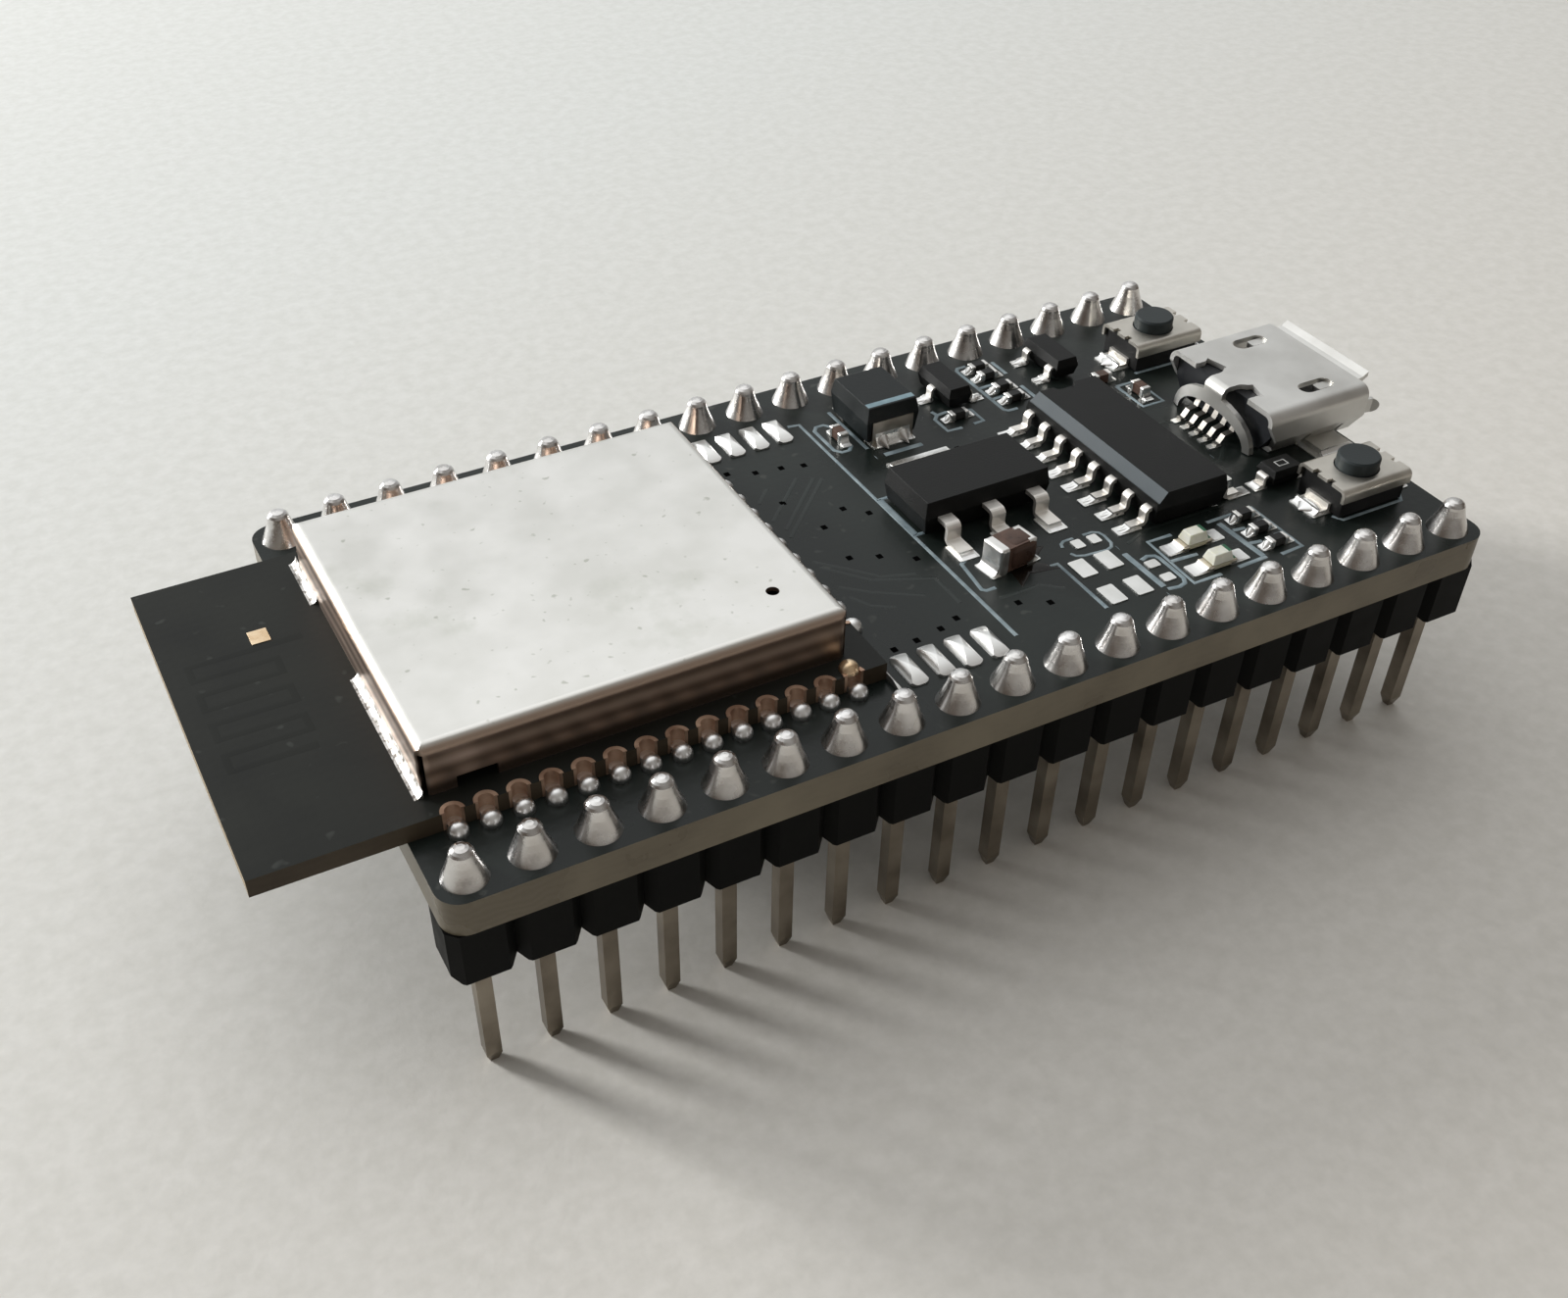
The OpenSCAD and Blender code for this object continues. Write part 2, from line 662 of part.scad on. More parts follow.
module diode_body() color([0.13, 0.13, 0.13]) at(diode_spot) translate([0, 0, small_lead_t])
    moulded_body(diode_l, diode_w, diode_h - small_lead_t, diode_h / 2);

module diode_leads() color([0.8, 0.78, 0.74]) at(diode_spot) for (s = [0, 180]) rotate(s)
    translate([diode_l / 2, 0, 0])
        gull_lead(diode_reach, diode_foot, diode_h / 2, small_lead_t, diode_lead_w, 0.14);

module transistor_bodies() color([0.11, 0.11, 0.11]) each_spot(transistor_spots)
    translate([0, 0, standoff]) moulded_body(trans_w, trans_l, trans_h - standoff, trans_h / 2);

// One lead on the right, two on the left
module each_trans_lead() {
    translate([trans_w / 2, 0, 0]) children();
    for (s = [-1, 1]) translate([-trans_w / 2, s * trans_pitch / 2, 0]) rotate(180) children();
}

module transistor_leads() color([0.82, 0.8, 0.76]) each_spot(transistor_spots) each_trans_lead()
    gull_lead(small_reach, small_foot * 0.6, trans_h / 2, small_lead_t, small_lead_w, 0.2);

module tantalum_body() color([0.1, 0.1, 0.1]) at(tantalum_spot) translate([0, 0, tant_term_t])
    difference() {
        moulded_body(tant_l, tant_w, tant_h - tant_term_t, tant_h * 0.55);
        for (s = [-1, 1]) translate([s * tant_l / 2, 0, 0])
            cube([2 * draft, tant_term_w, tant_h * 1.1], center = true);
    }

// Strips that leave the moulding at its seam and wrap under it
module tantalum_terminals() color([0.8, 0.8, 0.78]) at(tantalum_spot) for (s = [0, 180]) rotate(s) {
    translate([tant_l / 2 - draft, -tant_term_w / 2, 0])
        cube([draft, tant_term_w, tant_term_t + tant_h * 0.55]);
    translate([tant_l / 2 - 0.8, -tant_term_w / 2, 0]) cube([0.8, tant_term_w, tant_term_t]);
}

// ---- Chip parts ----

module capacitor_bodies() color([0.52, 0.4, 0.3]) {
    each_spot(capacitor_spots) chip_middle(res_l, res_w, cap_h);
    at(bulk_spot) chip_middle(bulk_l, bulk_w, bulk_h);
}

module capacitor_ends() color([0.8, 0.8, 0.8]) {
    each_spot(capacitor_spots) chip_ends(res_l, res_w, cap_h);
    at(bulk_spot) chip_ends(bulk_l, bulk_w, bulk_h);
}

module resistor_bodies() color([0.85, 0.85, 0.83]) each_spot(resistor_spots)
    chip_middle(res_l, res_w, res_h);

module resistor_films() color([0.08, 0.08, 0.08]) each_spot(resistor_spots)
    translate([0, 0, res_h - 0.02]) slab(res_l * (1 - 2 * end_share), res_w - 0.1, 0.04, 0.05);

module resistor_ends() color([0.8, 0.8, 0.8]) each_spot(resistor_spots)
    chip_ends(res_l, res_w, res_h);

module led_bases() color([0.85, 0.83, 0.72]) each_spot(led_spots)
    translate([0, 0, 0.02]) slab(led_l * (1 - 2 * end_share), led_w, led_base - 0.02, 0.02);

module led_lenses() color([0.9, 0.9, 0.8]) each_spot(led_spots)
    translate([0, 0, led_base])
        moulded_body(led_l * (1 - 1.4 * end_share), led_w, led_h - led_base, 0.01);

module led_ends() color([0.8, 0.75, 0.6]) each_spot(led_spots) chip_ends(led_l, led_w, led_base);

// ---- Pads and solder of the small parts ----

// Pad under a lead's foot and past its toe
module foot_pad(reach, foot, w, past = toe) translate([reach - foot / 2 + past / 2, 0, -pad_t])
    slab(foot + past, w, pad_t, 0.06);

module tinned_pads() color([0.72, 0.72, 0.7]) {
    each_spot(resistor_spots) chip_pads(res_l, res_w);
    each_spot(capacitor_spots) chip_pads(res_l, res_w);
    at(bulk_spot) chip_pads(bulk_l, bulk_w);
    each_spot(led_spots) chip_pads(led_l, led_w, led_pad);
    at(tantalum_spot) chip_pads(tant_l, tant_term_w);
    at(chip_spot) each_chip_lead() foot_pad(chip_reach, lead_foot, lead_w + 0.2, chip_toe);
    at(regulator_spot) each_reg_lead() foot_pad(reg_reach, lead_foot * 1.5, reg_lead_w + 0.3);
    at(regulator_spot) translate([0, reg_w / 2, 0]) rotate(90)
        foot_pad(reg_reach, lead_foot * 1.5, reg_tab_w + 0.3, tab_toe);
    at(diode_spot) for (s = [0, 180]) rotate(s) translate([diode_l / 2, 0, 0])
        foot_pad(diode_reach, small_foot, diode_lead_w + 0.2);
    each_spot(transistor_spots) each_trans_lead() foot_pad(small_reach, small_foot, small_lead_w + 0.2);
    for (p = bare_pads) at([p[0], p[1], 0]) translate([0, 0, -pad_t]) slab(p[2], p[3], pad_t, 0.08);
    usb_frame() each_contact() foot_pad(contact_reach, contact_foot, contact_w + 0.05);
    usb_frame() each_leg() translate([0, (leg_y + leg_end + toe) / 2, -pad_t])
        slab(leg_l + 2 * toe, leg_end + toe - leg_y, pad_t, 0.1);
    for (side = [-1, 1]) switch_frame(side) each_terminal()
        translate([(term_out + toe) / 2 - 0.4, 0, -pad_t])
            slab(term_out + toe + 0.8, term_w + 0.2, pad_t, 0.1);
}

module component_solder() color([0.84, 0.84, 0.84]) {
    each_spot(resistor_spots) chip_solder(res_l, res_w, res_h);
    each_spot(capacitor_spots) chip_solder(res_l, res_w, cap_h);
    at(bulk_spot) chip_solder(bulk_l, bulk_w, bulk_h * 0.7);
    each_spot(led_spots) chip_solder(led_l, led_w, led_base, led_pad);
    at(tantalum_spot) chip_solder(tant_l, tant_term_w, tant_h * 0.5);
    at(chip_spot) each_chip_lead() translate([chip_reach, 0, 0]) slope(chip_toe, lead_t, lead_w);
    at(regulator_spot) each_reg_lead() translate([reg_reach, 0, 0]) slope(toe, lead_t, reg_lead_w);
    at(regulator_spot) translate([0, reg_w / 2 + reg_reach, 0]) rotate(90)
        slope(tab_toe, lead_t, reg_tab_w);
    at(diode_spot) for (s = [0, 180]) rotate(s) translate([diode_l / 2 + diode_reach, 0, 0])
        slope(toe, small_lead_t, diode_lead_w);
    each_spot(transistor_spots) each_trans_lead() translate([small_reach, 0, 0])
        slope(toe, small_lead_t, small_lead_w);
    usb_frame() each_leg() translate([0, leg_end, 0]) rotate(90) slope(toe, usb_t, leg_l);
    for (side = [-1, 1]) switch_frame(side) each_terminal() translate([term_out, 0, 0])
        slope(toe, term_t * 2, term_w);
}

// ---- USB socket, in its own frame: X = 0 at the back of the shell ----

module usb_frame() translate([board_x + usb_back, usb_y, pad_z]) children();

// Outline of the shell's bent tube, drawn in by g
module usb_outline(g) {
    lean = atan2(usb_knee, (usb_w - usb_bottom_w) / 2);
    w = usb_w / 2 - g;
    knee = usb_knee + g * tan((90 - lean) / 2);
    foot = usb_bottom_w / 2 - g * tan(lean / 2);
    polygon([[-w, knee], [-foot, g], [foot, g], [w, knee]]);
    translate([-w, knee]) square([2 * w, usb_h - usb_r - knee]);
    translate([usb_r - usb_w / 2, knee]) square([usb_w - 2 * usb_r, usb_h - g - knee]);
    for (s = [-1, 1]) translate([s * (usb_w / 2 - usb_r), usb_h - usb_r]) circle(usb_r - g);
}

module each_leg() for (s = [0, 1]) mirror([0, s, 0]) translate([leg_x, 0, 0]) children();

module each_contact() for (i = [-2:2]) translate([insulator_back, i * contact_pitch, 0])
    rotate(180) children();

// Side view of a lip that flares out of the mouth
module lip_outline() polygon([[0, 0], [lip_reach * 0.45, lip_flare * 0.2], [lip_reach, lip_flare],
    [lip_reach, lip_flare - usb_t], [lip_reach * 0.55, lip_flare * 0.3 - usb_t], [0, -usb_t]]);

// Rounded side view of a side lip of height h
module lip_end(h) translate([0, h / 2]) {
    translate([-0.5, -h / 2]) square([lip_reach - h / 2 + 0.5, h]);
    translate([lip_reach - h / 2, 0]) circle(h / 2);
}

// Half an ellipse that stands on Y = 0
module half_ellipse(a, b) polygon([for (i = [0:16]) let (t = 180 * i / 16) [a * cos(t), b * sin(t)]]);

// Back flap: a neck that is folded down from the roof and spreads to an arch over the contacts
module flap_outline() difference() {
    union() {
        half_ellipse(usb_bottom_w / 2 - 0.2, usb_h * 0.78);
        translate([-neck_w / 2, 0]) square([neck_w, usb_h - flap_bend]);
    }
    translate([0, -0.01]) half_ellipse(usb_bottom_w / 2 - 0.6, usb_h * 0.53);
}

// Opening in the roof's back edge beside the neck
module bite() {
    polygon([[-1, neck_w / 2], [0.15, neck_w / 2], [bite_l, neck_w / 2 + 0.3],
        [bite_l - 0.25, bite_end - 0.05], [0.45, bite_end - 0.3], [-1, bite_end]]);
    translate([0.35, neck_w / 2 + 0.6]) circle(0.6);
}

module usb_shell() color([0.76, 0.76, 0.74]) usb_frame() {
    difference() {
        translate([usb_l / 2, 0, 0]) bar_x(usb_l) difference() {
            usb_outline(0);
            usb_outline(usb_t);
        }
        for (s = [0, 1]) mirror([0, s, 0]) translate([0, 0, usb_h - usb_r]) linear_extrude(2) bite();
        // the side walls' back edges run forwards towards the board
        bar_y(usb_w + 1) polygon([[-1, -1], [side_cut, -1], [side_cut, 0.3], [0, side_cut_z],
            [-1, side_cut_z]]);
        // the floor is open at the back, where the contacts come down
        cube([2 * (insulator_back + insulator_l), usb_bottom_w - 1.4, 2 * usb_t + 0.6], center = true);
        // latch windows in the roof
        for (s = [-1, 1]) translate([window_x, s * window_y, usb_h - 1]) slab(1.85, 0.85, 2, 0.42);
        // slots that free the soldered feet from the side walls
        for (s = [-1, 1]) translate([leg_x + s * (leg_l / 2 + 0.12), 0, 0])
            cube([0.24, usb_w + 1, 1.5], center = true);
    }
    // latch springs inside the windows
    for (s = [-1, 1]) translate([window_x + 0.7, s * window_y, usb_h - usb_t - 0.12])
        slab(1.3, 0.5, usb_t, 0.1);
    // bend and flap at the back
    translate([0, 0, usb_h - flap_bend]) bar_y(neck_w) intersection() {
        difference() {
            circle(flap_bend);
            circle(flap_bend - usb_t);
        }
        translate([-1, 0]) square([1, 1]);
    }
    intersection() {
        bar_x(2) flap_outline();
        translate([flap_swing - flap_bend, 0, 0]) linear_extrude(usb_h) difference() {
            circle(flap_swing, $fn = 96);
            circle(flap_swing - usb_t, $fn = 96);
        }
    }
    // lips round the mouth
    translate([usb_l, 0, usb_h]) bar_y(usb_w - 2 * usb_r - 0.6) lip_outline();
    translate([usb_l, 0, 0]) mirror([0, 0, 1]) bar_y(usb_bottom_w - 1) lip_outline();
    for (s = [0, 1]) mirror([0, s, 0]) translate([usb_l, usb_w / 2, usb_knee + 0.1])
        intersection() {
            linear_extrude(usb_h - usb_r - usb_knee - 0.2) lip_outline();
            bar_y(2) lip_end(usb_h - usb_r - usb_knee - 0.2);
        }
    // feet on the board
    each_leg() translate([-leg_l / 2, leg_y, 0]) cube([leg_l, leg_end - leg_y, usb_t]);
}

module usb_insulator() color([0.05, 0.05, 0.05]) usb_frame() difference() {
    union() {
        translate([insulator_back + insulator_l / 2, 0, 0]) bar_x(insulator_l)
            usb_outline(usb_t + insulator_gap);
        translate([insulator_back + insulator_l, -tongue_w / 2, tongue_z])
            cube([tongue_l, tongue_w, tongue_t]);
    }
    for (i = [-2:2]) translate([0, i * contact_pitch - contact_w / 2, tongue_z - contact_t])
        cube([usb_l, contact_w, contact_t]);
}

// Tail of a contact: steeply down behind the flap, then out and down to its foot
module contact_tail() {
    under = [[0, tongue_z - contact_t], [0.22, tongue_z - contact_t], [0.4, 0.42],
        [contact_reach - 0.45, 0.34], [contact_reach - 0.2, 0], [contact_reach, 0]];
    bar_y(contact_w) polygon(concat(under,
        [for (i = [len(under) - 1:-1:0]) under[i] + [0, contact_t]]));
}

module usb_contacts() color([0.8, 0.75, 0.6]) usb_frame() each_contact() {
    contact_tail();
    translate([-insulator_l - tongue_l + 0.4, -contact_w / 2, tongue_z - contact_t])
        cube([insulator_l + tongue_l - 0.4, contact_w, contact_t]);
}

// ---- Switches ----

module switch_frame(side) translate([switch_x, usb_y + side * switch_y, pad_z]) children();

module each_terminal() for (s = [0, 180]) rotate(s) translate([cover_l / 2, 0, 0]) children();

module switch_base(side) color([0.08, 0.08, 0.08]) switch_frame(side) difference() {
    bar_x(base_l) arch(base_w, base_h, cover_r);
    translate([0, 0, well_z]) cylinder(r = well_r, h = base_h);
}

// Folded metal cover with a hole for the plunger and hooked ends
module switch_cover(side) color([0.78, 0.76, 0.72]) switch_frame(side) difference() {
    bar_x(cover_l) difference() {
        arch(cover_w, cover_top, cover_r);
        translate([0, -cover_t]) arch(base_w, cover_top, cover_r - cover_t);
        translate([-cover_w, 0]) square([2 * cover_w, cover_top - cover_skirt]);
    }
    cylinder(d = plunger_d + 2 * plunger_gap, h = 2 * base_h);
    for (sx = [-1, 1], sy = [-1, 1]) translate([sx * cover_l / 2, sy * notch_y, base_h])
        cube([0.5, notch_w, 1], center = true);
}

module switch_terminals(side) color([0.82, 0.81, 0.78]) switch_frame(side) each_terminal()
    bar_y(term_w) polygon([[-term_t, 0], [term_out, 0], [term_out, term_t], [0, term_t],
        [0, term_rise], [-term_t, term_rise]]);

// Thin snap dome under the plunger
module switch_dome(side) color([0.7, 0.7, 0.68]) switch_frame(side)
    translate([0, 0, well_z]) rotate_extrude() polygon(concat(
        [for (i = [0:8]) let (t = i / 8) [dome_r * t, dome_rise * (1 - t * t)]],
        [for (i = [8:-1:0]) let (t = i / 8) [(dome_r - 2 * dome_t) * t, (dome_rise - dome_t) * (1 - t * t)]]));

module plunger(side) color([0.17, 0.2, 0.2]) switch_frame(side) translate([0, 0, dome_top])
    rotate_extrude() polygon([[0, 0], [collar_r, 0], [collar_r, collar_t],
        [plunger_d / 2, collar_t], [plunger_d / 2, cover_top + plunger_rise - dome_top - 0.08],
        [plunger_d / 2 - 0.08, cover_top + plunger_rise - dome_top],
        [0, cover_top + plunger_rise - dome_top]]);

carrier_board();
header_strip(-1);  // header_strip_near
header_strip(1);  // header_strip_far
header_pins(-1);  // header_pins_near
header_pins(1);  // header_pins_far
pin_solder(-1);  // pin_solder_near
pin_solder(1);  // pin_solder_far
tinned_pads();
module_board();
castellations();
module_solder(-1);  // module_solder_near
module_solder(1);  // module_solder_far
module_solder_end();
spare_solder();
shield_can();
shield_solder();
radio_chip();
flash_chip();
crystal_can();
module_passives();
serial_chip_body();
serial_chip_leads();
regulator_body();
regulator_leads();
tantalum_body();
tantalum_terminals();
capacitor_bodies();
capacitor_ends();
resistor_bodies();
resistor_films();
resistor_ends();
diode_body();
diode_leads();
transistor_bodies();
transistor_leads();
led_bases();
led_lenses();
led_ends();
component_solder();
usb_shell();
usb_insulator();
usb_contacts();
switch_base(-1);  // switch_base_near
switch_cover(-1);  // switch_cover_near
switch_terminals(-1);  // switch_terminals_near
switch_dome(-1);  // switch_dome_near
plunger(-1);  // plunger_near
switch_base(1);  // switch_base_far
switch_cover(1);  // switch_cover_far
switch_terminals(1);  // switch_terminals_far
switch_dome(1);  // switch_dome_far
plunger(1);  // plunger_far
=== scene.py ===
import math
import bpy
import bmesh
from mathutils import Matrix, Vector


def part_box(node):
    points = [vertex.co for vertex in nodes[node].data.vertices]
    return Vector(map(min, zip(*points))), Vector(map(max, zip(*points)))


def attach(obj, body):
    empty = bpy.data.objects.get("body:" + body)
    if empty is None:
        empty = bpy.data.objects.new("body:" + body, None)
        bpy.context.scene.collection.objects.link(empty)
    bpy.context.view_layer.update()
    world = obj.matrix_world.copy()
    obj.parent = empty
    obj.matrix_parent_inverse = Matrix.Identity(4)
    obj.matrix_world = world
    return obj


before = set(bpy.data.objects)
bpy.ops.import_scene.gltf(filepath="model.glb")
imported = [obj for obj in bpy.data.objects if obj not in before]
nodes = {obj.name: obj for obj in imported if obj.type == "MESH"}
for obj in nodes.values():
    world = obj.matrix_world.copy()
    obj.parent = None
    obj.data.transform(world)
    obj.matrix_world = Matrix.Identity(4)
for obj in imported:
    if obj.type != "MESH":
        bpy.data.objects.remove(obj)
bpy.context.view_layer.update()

MM = 0.001


# ---- Table top, light and camera ----
# The board stands on its pins on a sheet of pale matt paper. A low, narrow window at the back left
# draws the long shadows of the pins, a broad lamp overhead fills them, the bright wall at the back
# lights the upper faces, and the wall in front is a dimmer grey.
def deselect():
    bpy.ops.object.select_all(action="DESELECT")


def new_material(name):
    material = bpy.data.materials.new(name)
    material.use_nodes = True
    return material


def workings(material):
    """The node tree of a material and its shader"""
    return material.node_tree, material.node_tree.nodes["Principled BSDF"]


def add_node(tree, kind, **values):
    node = tree.nodes.new(kind)
    for key, value in values.items():
        setattr(node, key, value)
    return node


def feed(tree, value, socket):
    """Give a socket an output of the tree or a plain value"""
    if isinstance(value, bpy.types.NodeSocket):
        tree.links.new(value, socket)
    else:
        socket.default_value = value


def object_place(tree, stretch=None):
    """Place on the object in metres, drawn out along the axes whose stretch is small"""
    place = add_node(tree, "ShaderNodeTexCoord").outputs["Object"]
    if not stretch:
        return place
    drawn = add_node(tree, "ShaderNodeMapping")
    drawn.inputs["Scale"].default_value = stretch
    tree.links.new(place, drawn.inputs["Vector"])
    return drawn.outputs["Vector"]


def noise(tree, scale, detail=2, rough=0.5, stretch=None):
    node = add_node(tree, "ShaderNodeTexNoise")
    feed(tree, scale, node.inputs["Scale"])
    node.inputs["Detail"].default_value = detail
    node.inputs["Roughness"].default_value = rough
    tree.links.new(object_place(tree, stretch), node.inputs["Vector"])
    return node.outputs["Fac"]


def map_range(tree, source, low, high, to_low, to_high):
    node = add_node(tree, "ShaderNodeMapRange")
    node.inputs["From Min"].default_value = low
    node.inputs["From Max"].default_value = high
    node.inputs["To Min"].default_value = to_low
    node.inputs["To Max"].default_value = to_high
    tree.links.new(source, node.inputs["Value"])
    return node.outputs["Result"]


def along(tree, vector, direction):
    """How far a vector of the tree points along a direction"""
    node = add_node(tree, "ShaderNodeVectorMath", operation="DOT_PRODUCT")
    node.inputs[1].default_value = direction
    tree.links.new(vector, node.inputs[0])
    return node.outputs["Value"]


def mix_colour(tree, factor, low, high, blend="MIX"):
    """Colour between low and high, each of them a colour or an output of the tree"""
    node = add_node(tree, "ShaderNodeMix", data_type="RGBA", blend_type=blend)
    feed(tree, factor, node.inputs["Factor"])
    for index, colour in ((6, low), (7, high)):
        feed(tree, colour + (1,) if isinstance(colour, tuple) else colour, node.inputs[index])
    return node.outputs[2]


def raised(tree, height, depth, under=None, strength=1.0):
    """Normal of a relief so many millimetres deep, laid over the relief under it"""
    bump = add_node(tree, "ShaderNodeBump")
    bump.inputs["Strength"].default_value = strength
    bump.inputs["Distance"].default_value = depth * MM
    tree.links.new(height, bump.inputs["Height"])
    if under:
        tree.links.new(under, bump.inputs["Normal"])
    return bump.outputs["Normal"]


paper_size = 12.0
deselect()
bpy.ops.mesh.primitive_plane_add(size=paper_size, location=(0, 0, 0))
paper = bpy.context.object
paper.name = "paper_sheet"
pale_paper = new_material("pale_paper")
tree, shader = workings(pale_paper)
shader.inputs["Roughness"].default_value = 0.8
fibres = noise(tree, 2600, 6)
patches = map_range(tree, noise(tree, 1100, 5), 0.35, 0.65, 0, 1)
# Painted shade: the paper is painted darker and warmer towards the front, away from the lamps.
painted_front_shade = map_range(tree, along(tree, object_place(tree), (0.35, -0.94, 0)), -0.06, 0.05, 0, 1)
shaded_sheet_tone = mix_colour(tree, painted_front_shade, (0.80, 0.815, 0.795), (0.775, 0.738, 0.682))
fibre_tone = mix_colour(tree, fibres, (0.90, 0.90, 0.90), (1.0, 1.0, 1.0))
patch_tone = mix_colour(tree, patches, (0.93, 0.93, 0.92), (1.0, 1.0, 1.0))
worn_tone = mix_colour(tree, 1.0, fibre_tone, patch_tone, "MULTIPLY")
tree.links.new(mix_colour(tree, 1.0, shaded_sheet_tone, worn_tone, "MULTIPLY"), shader.inputs["Base Color"])
tree.links.new(raised(tree, fibres, 0.04, strength=0.25), shader.inputs["Normal"])
paper.data.materials.append(pale_paper)


def soft_lamp(name, place, aim, width, height, power, colour):
    data = bpy.data.lights.new(name, "AREA")
    data.shape = "RECTANGLE"
    data.size = width
    data.size_y = height
    data.energy = power
    data.color = colour
    lamp = bpy.data.objects.new(name, data)
    lamp.location = place
    lamp.rotation_euler = (Vector(aim) - Vector(place)).to_track_quat("-Z", "Y").to_euler()
    bpy.context.scene.collection.objects.link(lamp)


soft_lamp("window", (-0.36, 0.44, 0.15), (0, 0, 0.005), 0.12, 0.28, 4.4, (1.0, 0.995, 0.98))
soft_lamp("overhead", (0.0, 0.25, 0.70), (0, 0, 0), 0.9, 0.8, 1.2, (1.0, 1.0, 1.0))

room = bpy.data.worlds.new("studio")
room.use_nodes = True
tree = room.node_tree
sky = tree.nodes["Background"]
heading = add_node(tree, "ShaderNodeTexCoord").outputs["Generated"]
back_glow = map_range(tree, along(tree, heading, (-0.05, 0.80, 0.60)), 0.20, 0.85, 0, 1)
back_wall = mix_colour(tree, back_glow, (0.125, 0.104, 0.088), (0.75, 0.765, 0.77))
front_glow = map_range(tree, along(tree, heading, (0.10, -0.74, 0.66)), 0.50, 0.95, 0, 1)
tree.links.new(mix_colour(tree, front_glow, back_wall, (0.30, 0.288, 0.27)), sky.inputs["Color"])
sky.inputs["Strength"].default_value = 1.0
bpy.context.scene.world = room
bpy.context.scene.view_settings.view_transform = "Standard"

camera_data = bpy.data.cameras.new("camera")
camera_data.lens = 38.456
camera_data.sensor_width = 36
camera_data.shift_x = 0.0426
camera_data.shift_y = 0.0488
camera_data.clip_start = 0.005
camera_data.clip_end = 10
camera = bpy.data.objects.new("camera", camera_data)
camera.location = (-0.03059, -0.0514, 0.05261)
camera.rotation_euler = (math.radians(48.482), math.radians(0.475), math.radians(-26.821))
bpy.context.scene.collection.objects.link(camera)
bpy.context.scene.camera = camera


# ---- Carrier board ----
# Glass-fibre laminate, 1.6 mm thick, under a dark green-black solder lacquer. It is routed from a
# larger panel, so the bare edge shows the pale layers of glass and resin.
def shader_group(name, inputs, outputs):
    group = bpy.data.node_groups.new(name, "ShaderNodeTree")
    for label, value in inputs:
        socket = group.interface.new_socket(name=label, in_out="INPUT", socket_type="NodeSocketFloat")
        socket.default_value = value
    for label in outputs:
        group.interface.new_socket(name=label, in_out="OUTPUT", socket_type="NodeSocketFloat")
    return group, add_node(group, "NodeGroupInput"), add_node(group, "NodeGroupOutput")


# Slow clouds, fine grain and rare flecks, shared by every surface of the part
drift, given, result = shader_group("surface_drift", (("Cloud Scale", 350), ("Grain Scale", 9000)),
                                    ("Cloud", "Grain", "Fleck"))
fleck_scale = add_node(drift, "ShaderNodeMath", operation="MULTIPLY")
fleck_scale.inputs[1].default_value = 0.22
drift.links.new(given.outputs["Grain Scale"], fleck_scale.inputs[0])
clouds = noise(drift, given.outputs["Cloud Scale"], 4)
flecks = noise(drift, fleck_scale.outputs[0], 1)
drift.links.new(map_range(drift, clouds, 0.34, 0.66, 0, 1), result.inputs["Cloud"])
drift.links.new(noise(drift, given.outputs["Grain Scale"]), result.inputs["Grain"])
drift.links.new(map_range(drift, flecks, 0.70, 0.78, 0, 1), result.inputs["Fleck"])


def surface(name, low, high, gloss, cloud=350, grain=9000, relief=0.003, metal=0.0, mirror=0.25):
    """Material that drifts between two colours and two roughnesses, with a fine grain in relief"""
    material = new_material(name)
    tree, shader = workings(material)
    skin = add_node(tree, "ShaderNodeGroup", name="surface_drift")
    skin.node_tree = drift
    skin.inputs["Cloud Scale"].default_value = cloud
    skin.inputs["Grain Scale"].default_value = grain
    tree.links.new(mix_colour(tree, skin.outputs["Cloud"], low, high), shader.inputs["Base Color"])
    tree.links.new(map_range(tree, skin.outputs["Cloud"], 0, 1, gloss[0], gloss[1]),
                   shader.inputs["Roughness"])
    tree.links.new(raised(tree, skin.outputs["Grain"], relief), shader.inputs["Normal"])
    shader.inputs["Metallic"].default_value = metal
    if metal == 0.0:
        shader.inputs["Specular IOR Level"].default_value = mirror
    return material


def source_of(shader, label):
    """The output that feeds a socket of the shader"""
    return shader.inputs[label].links[0].from_socket


def add_relief(material, height, depth):
    """Slower relief, laid over the fine relief that the surface has"""
    tree, shader = workings(material)
    tree.links.new(raised(tree, height, depth, source_of(shader, "Normal")), shader.inputs["Normal"])


def face_normal(tree):
    return add_node(tree, "ShaderNodeNewGeometry").outputs["True Normal"]


def bands(tree, across, scale, distortion, detail=2, stretch=None):
    """Soft parallel bands across one axis of the object"""
    node = add_node(tree, "ShaderNodeTexWave", wave_type="BANDS", bands_direction=across)
    node.inputs["Scale"].default_value = scale
    node.inputs["Distortion"].default_value = distortion
    node.inputs["Detail"].default_value = detail
    tree.links.new(object_place(tree, stretch), node.inputs["Vector"])
    return node.outputs["Fac"]


def dress(material, *names):
    for name in names:
        for slot in nodes[name].material_slots:
            slot.material = material


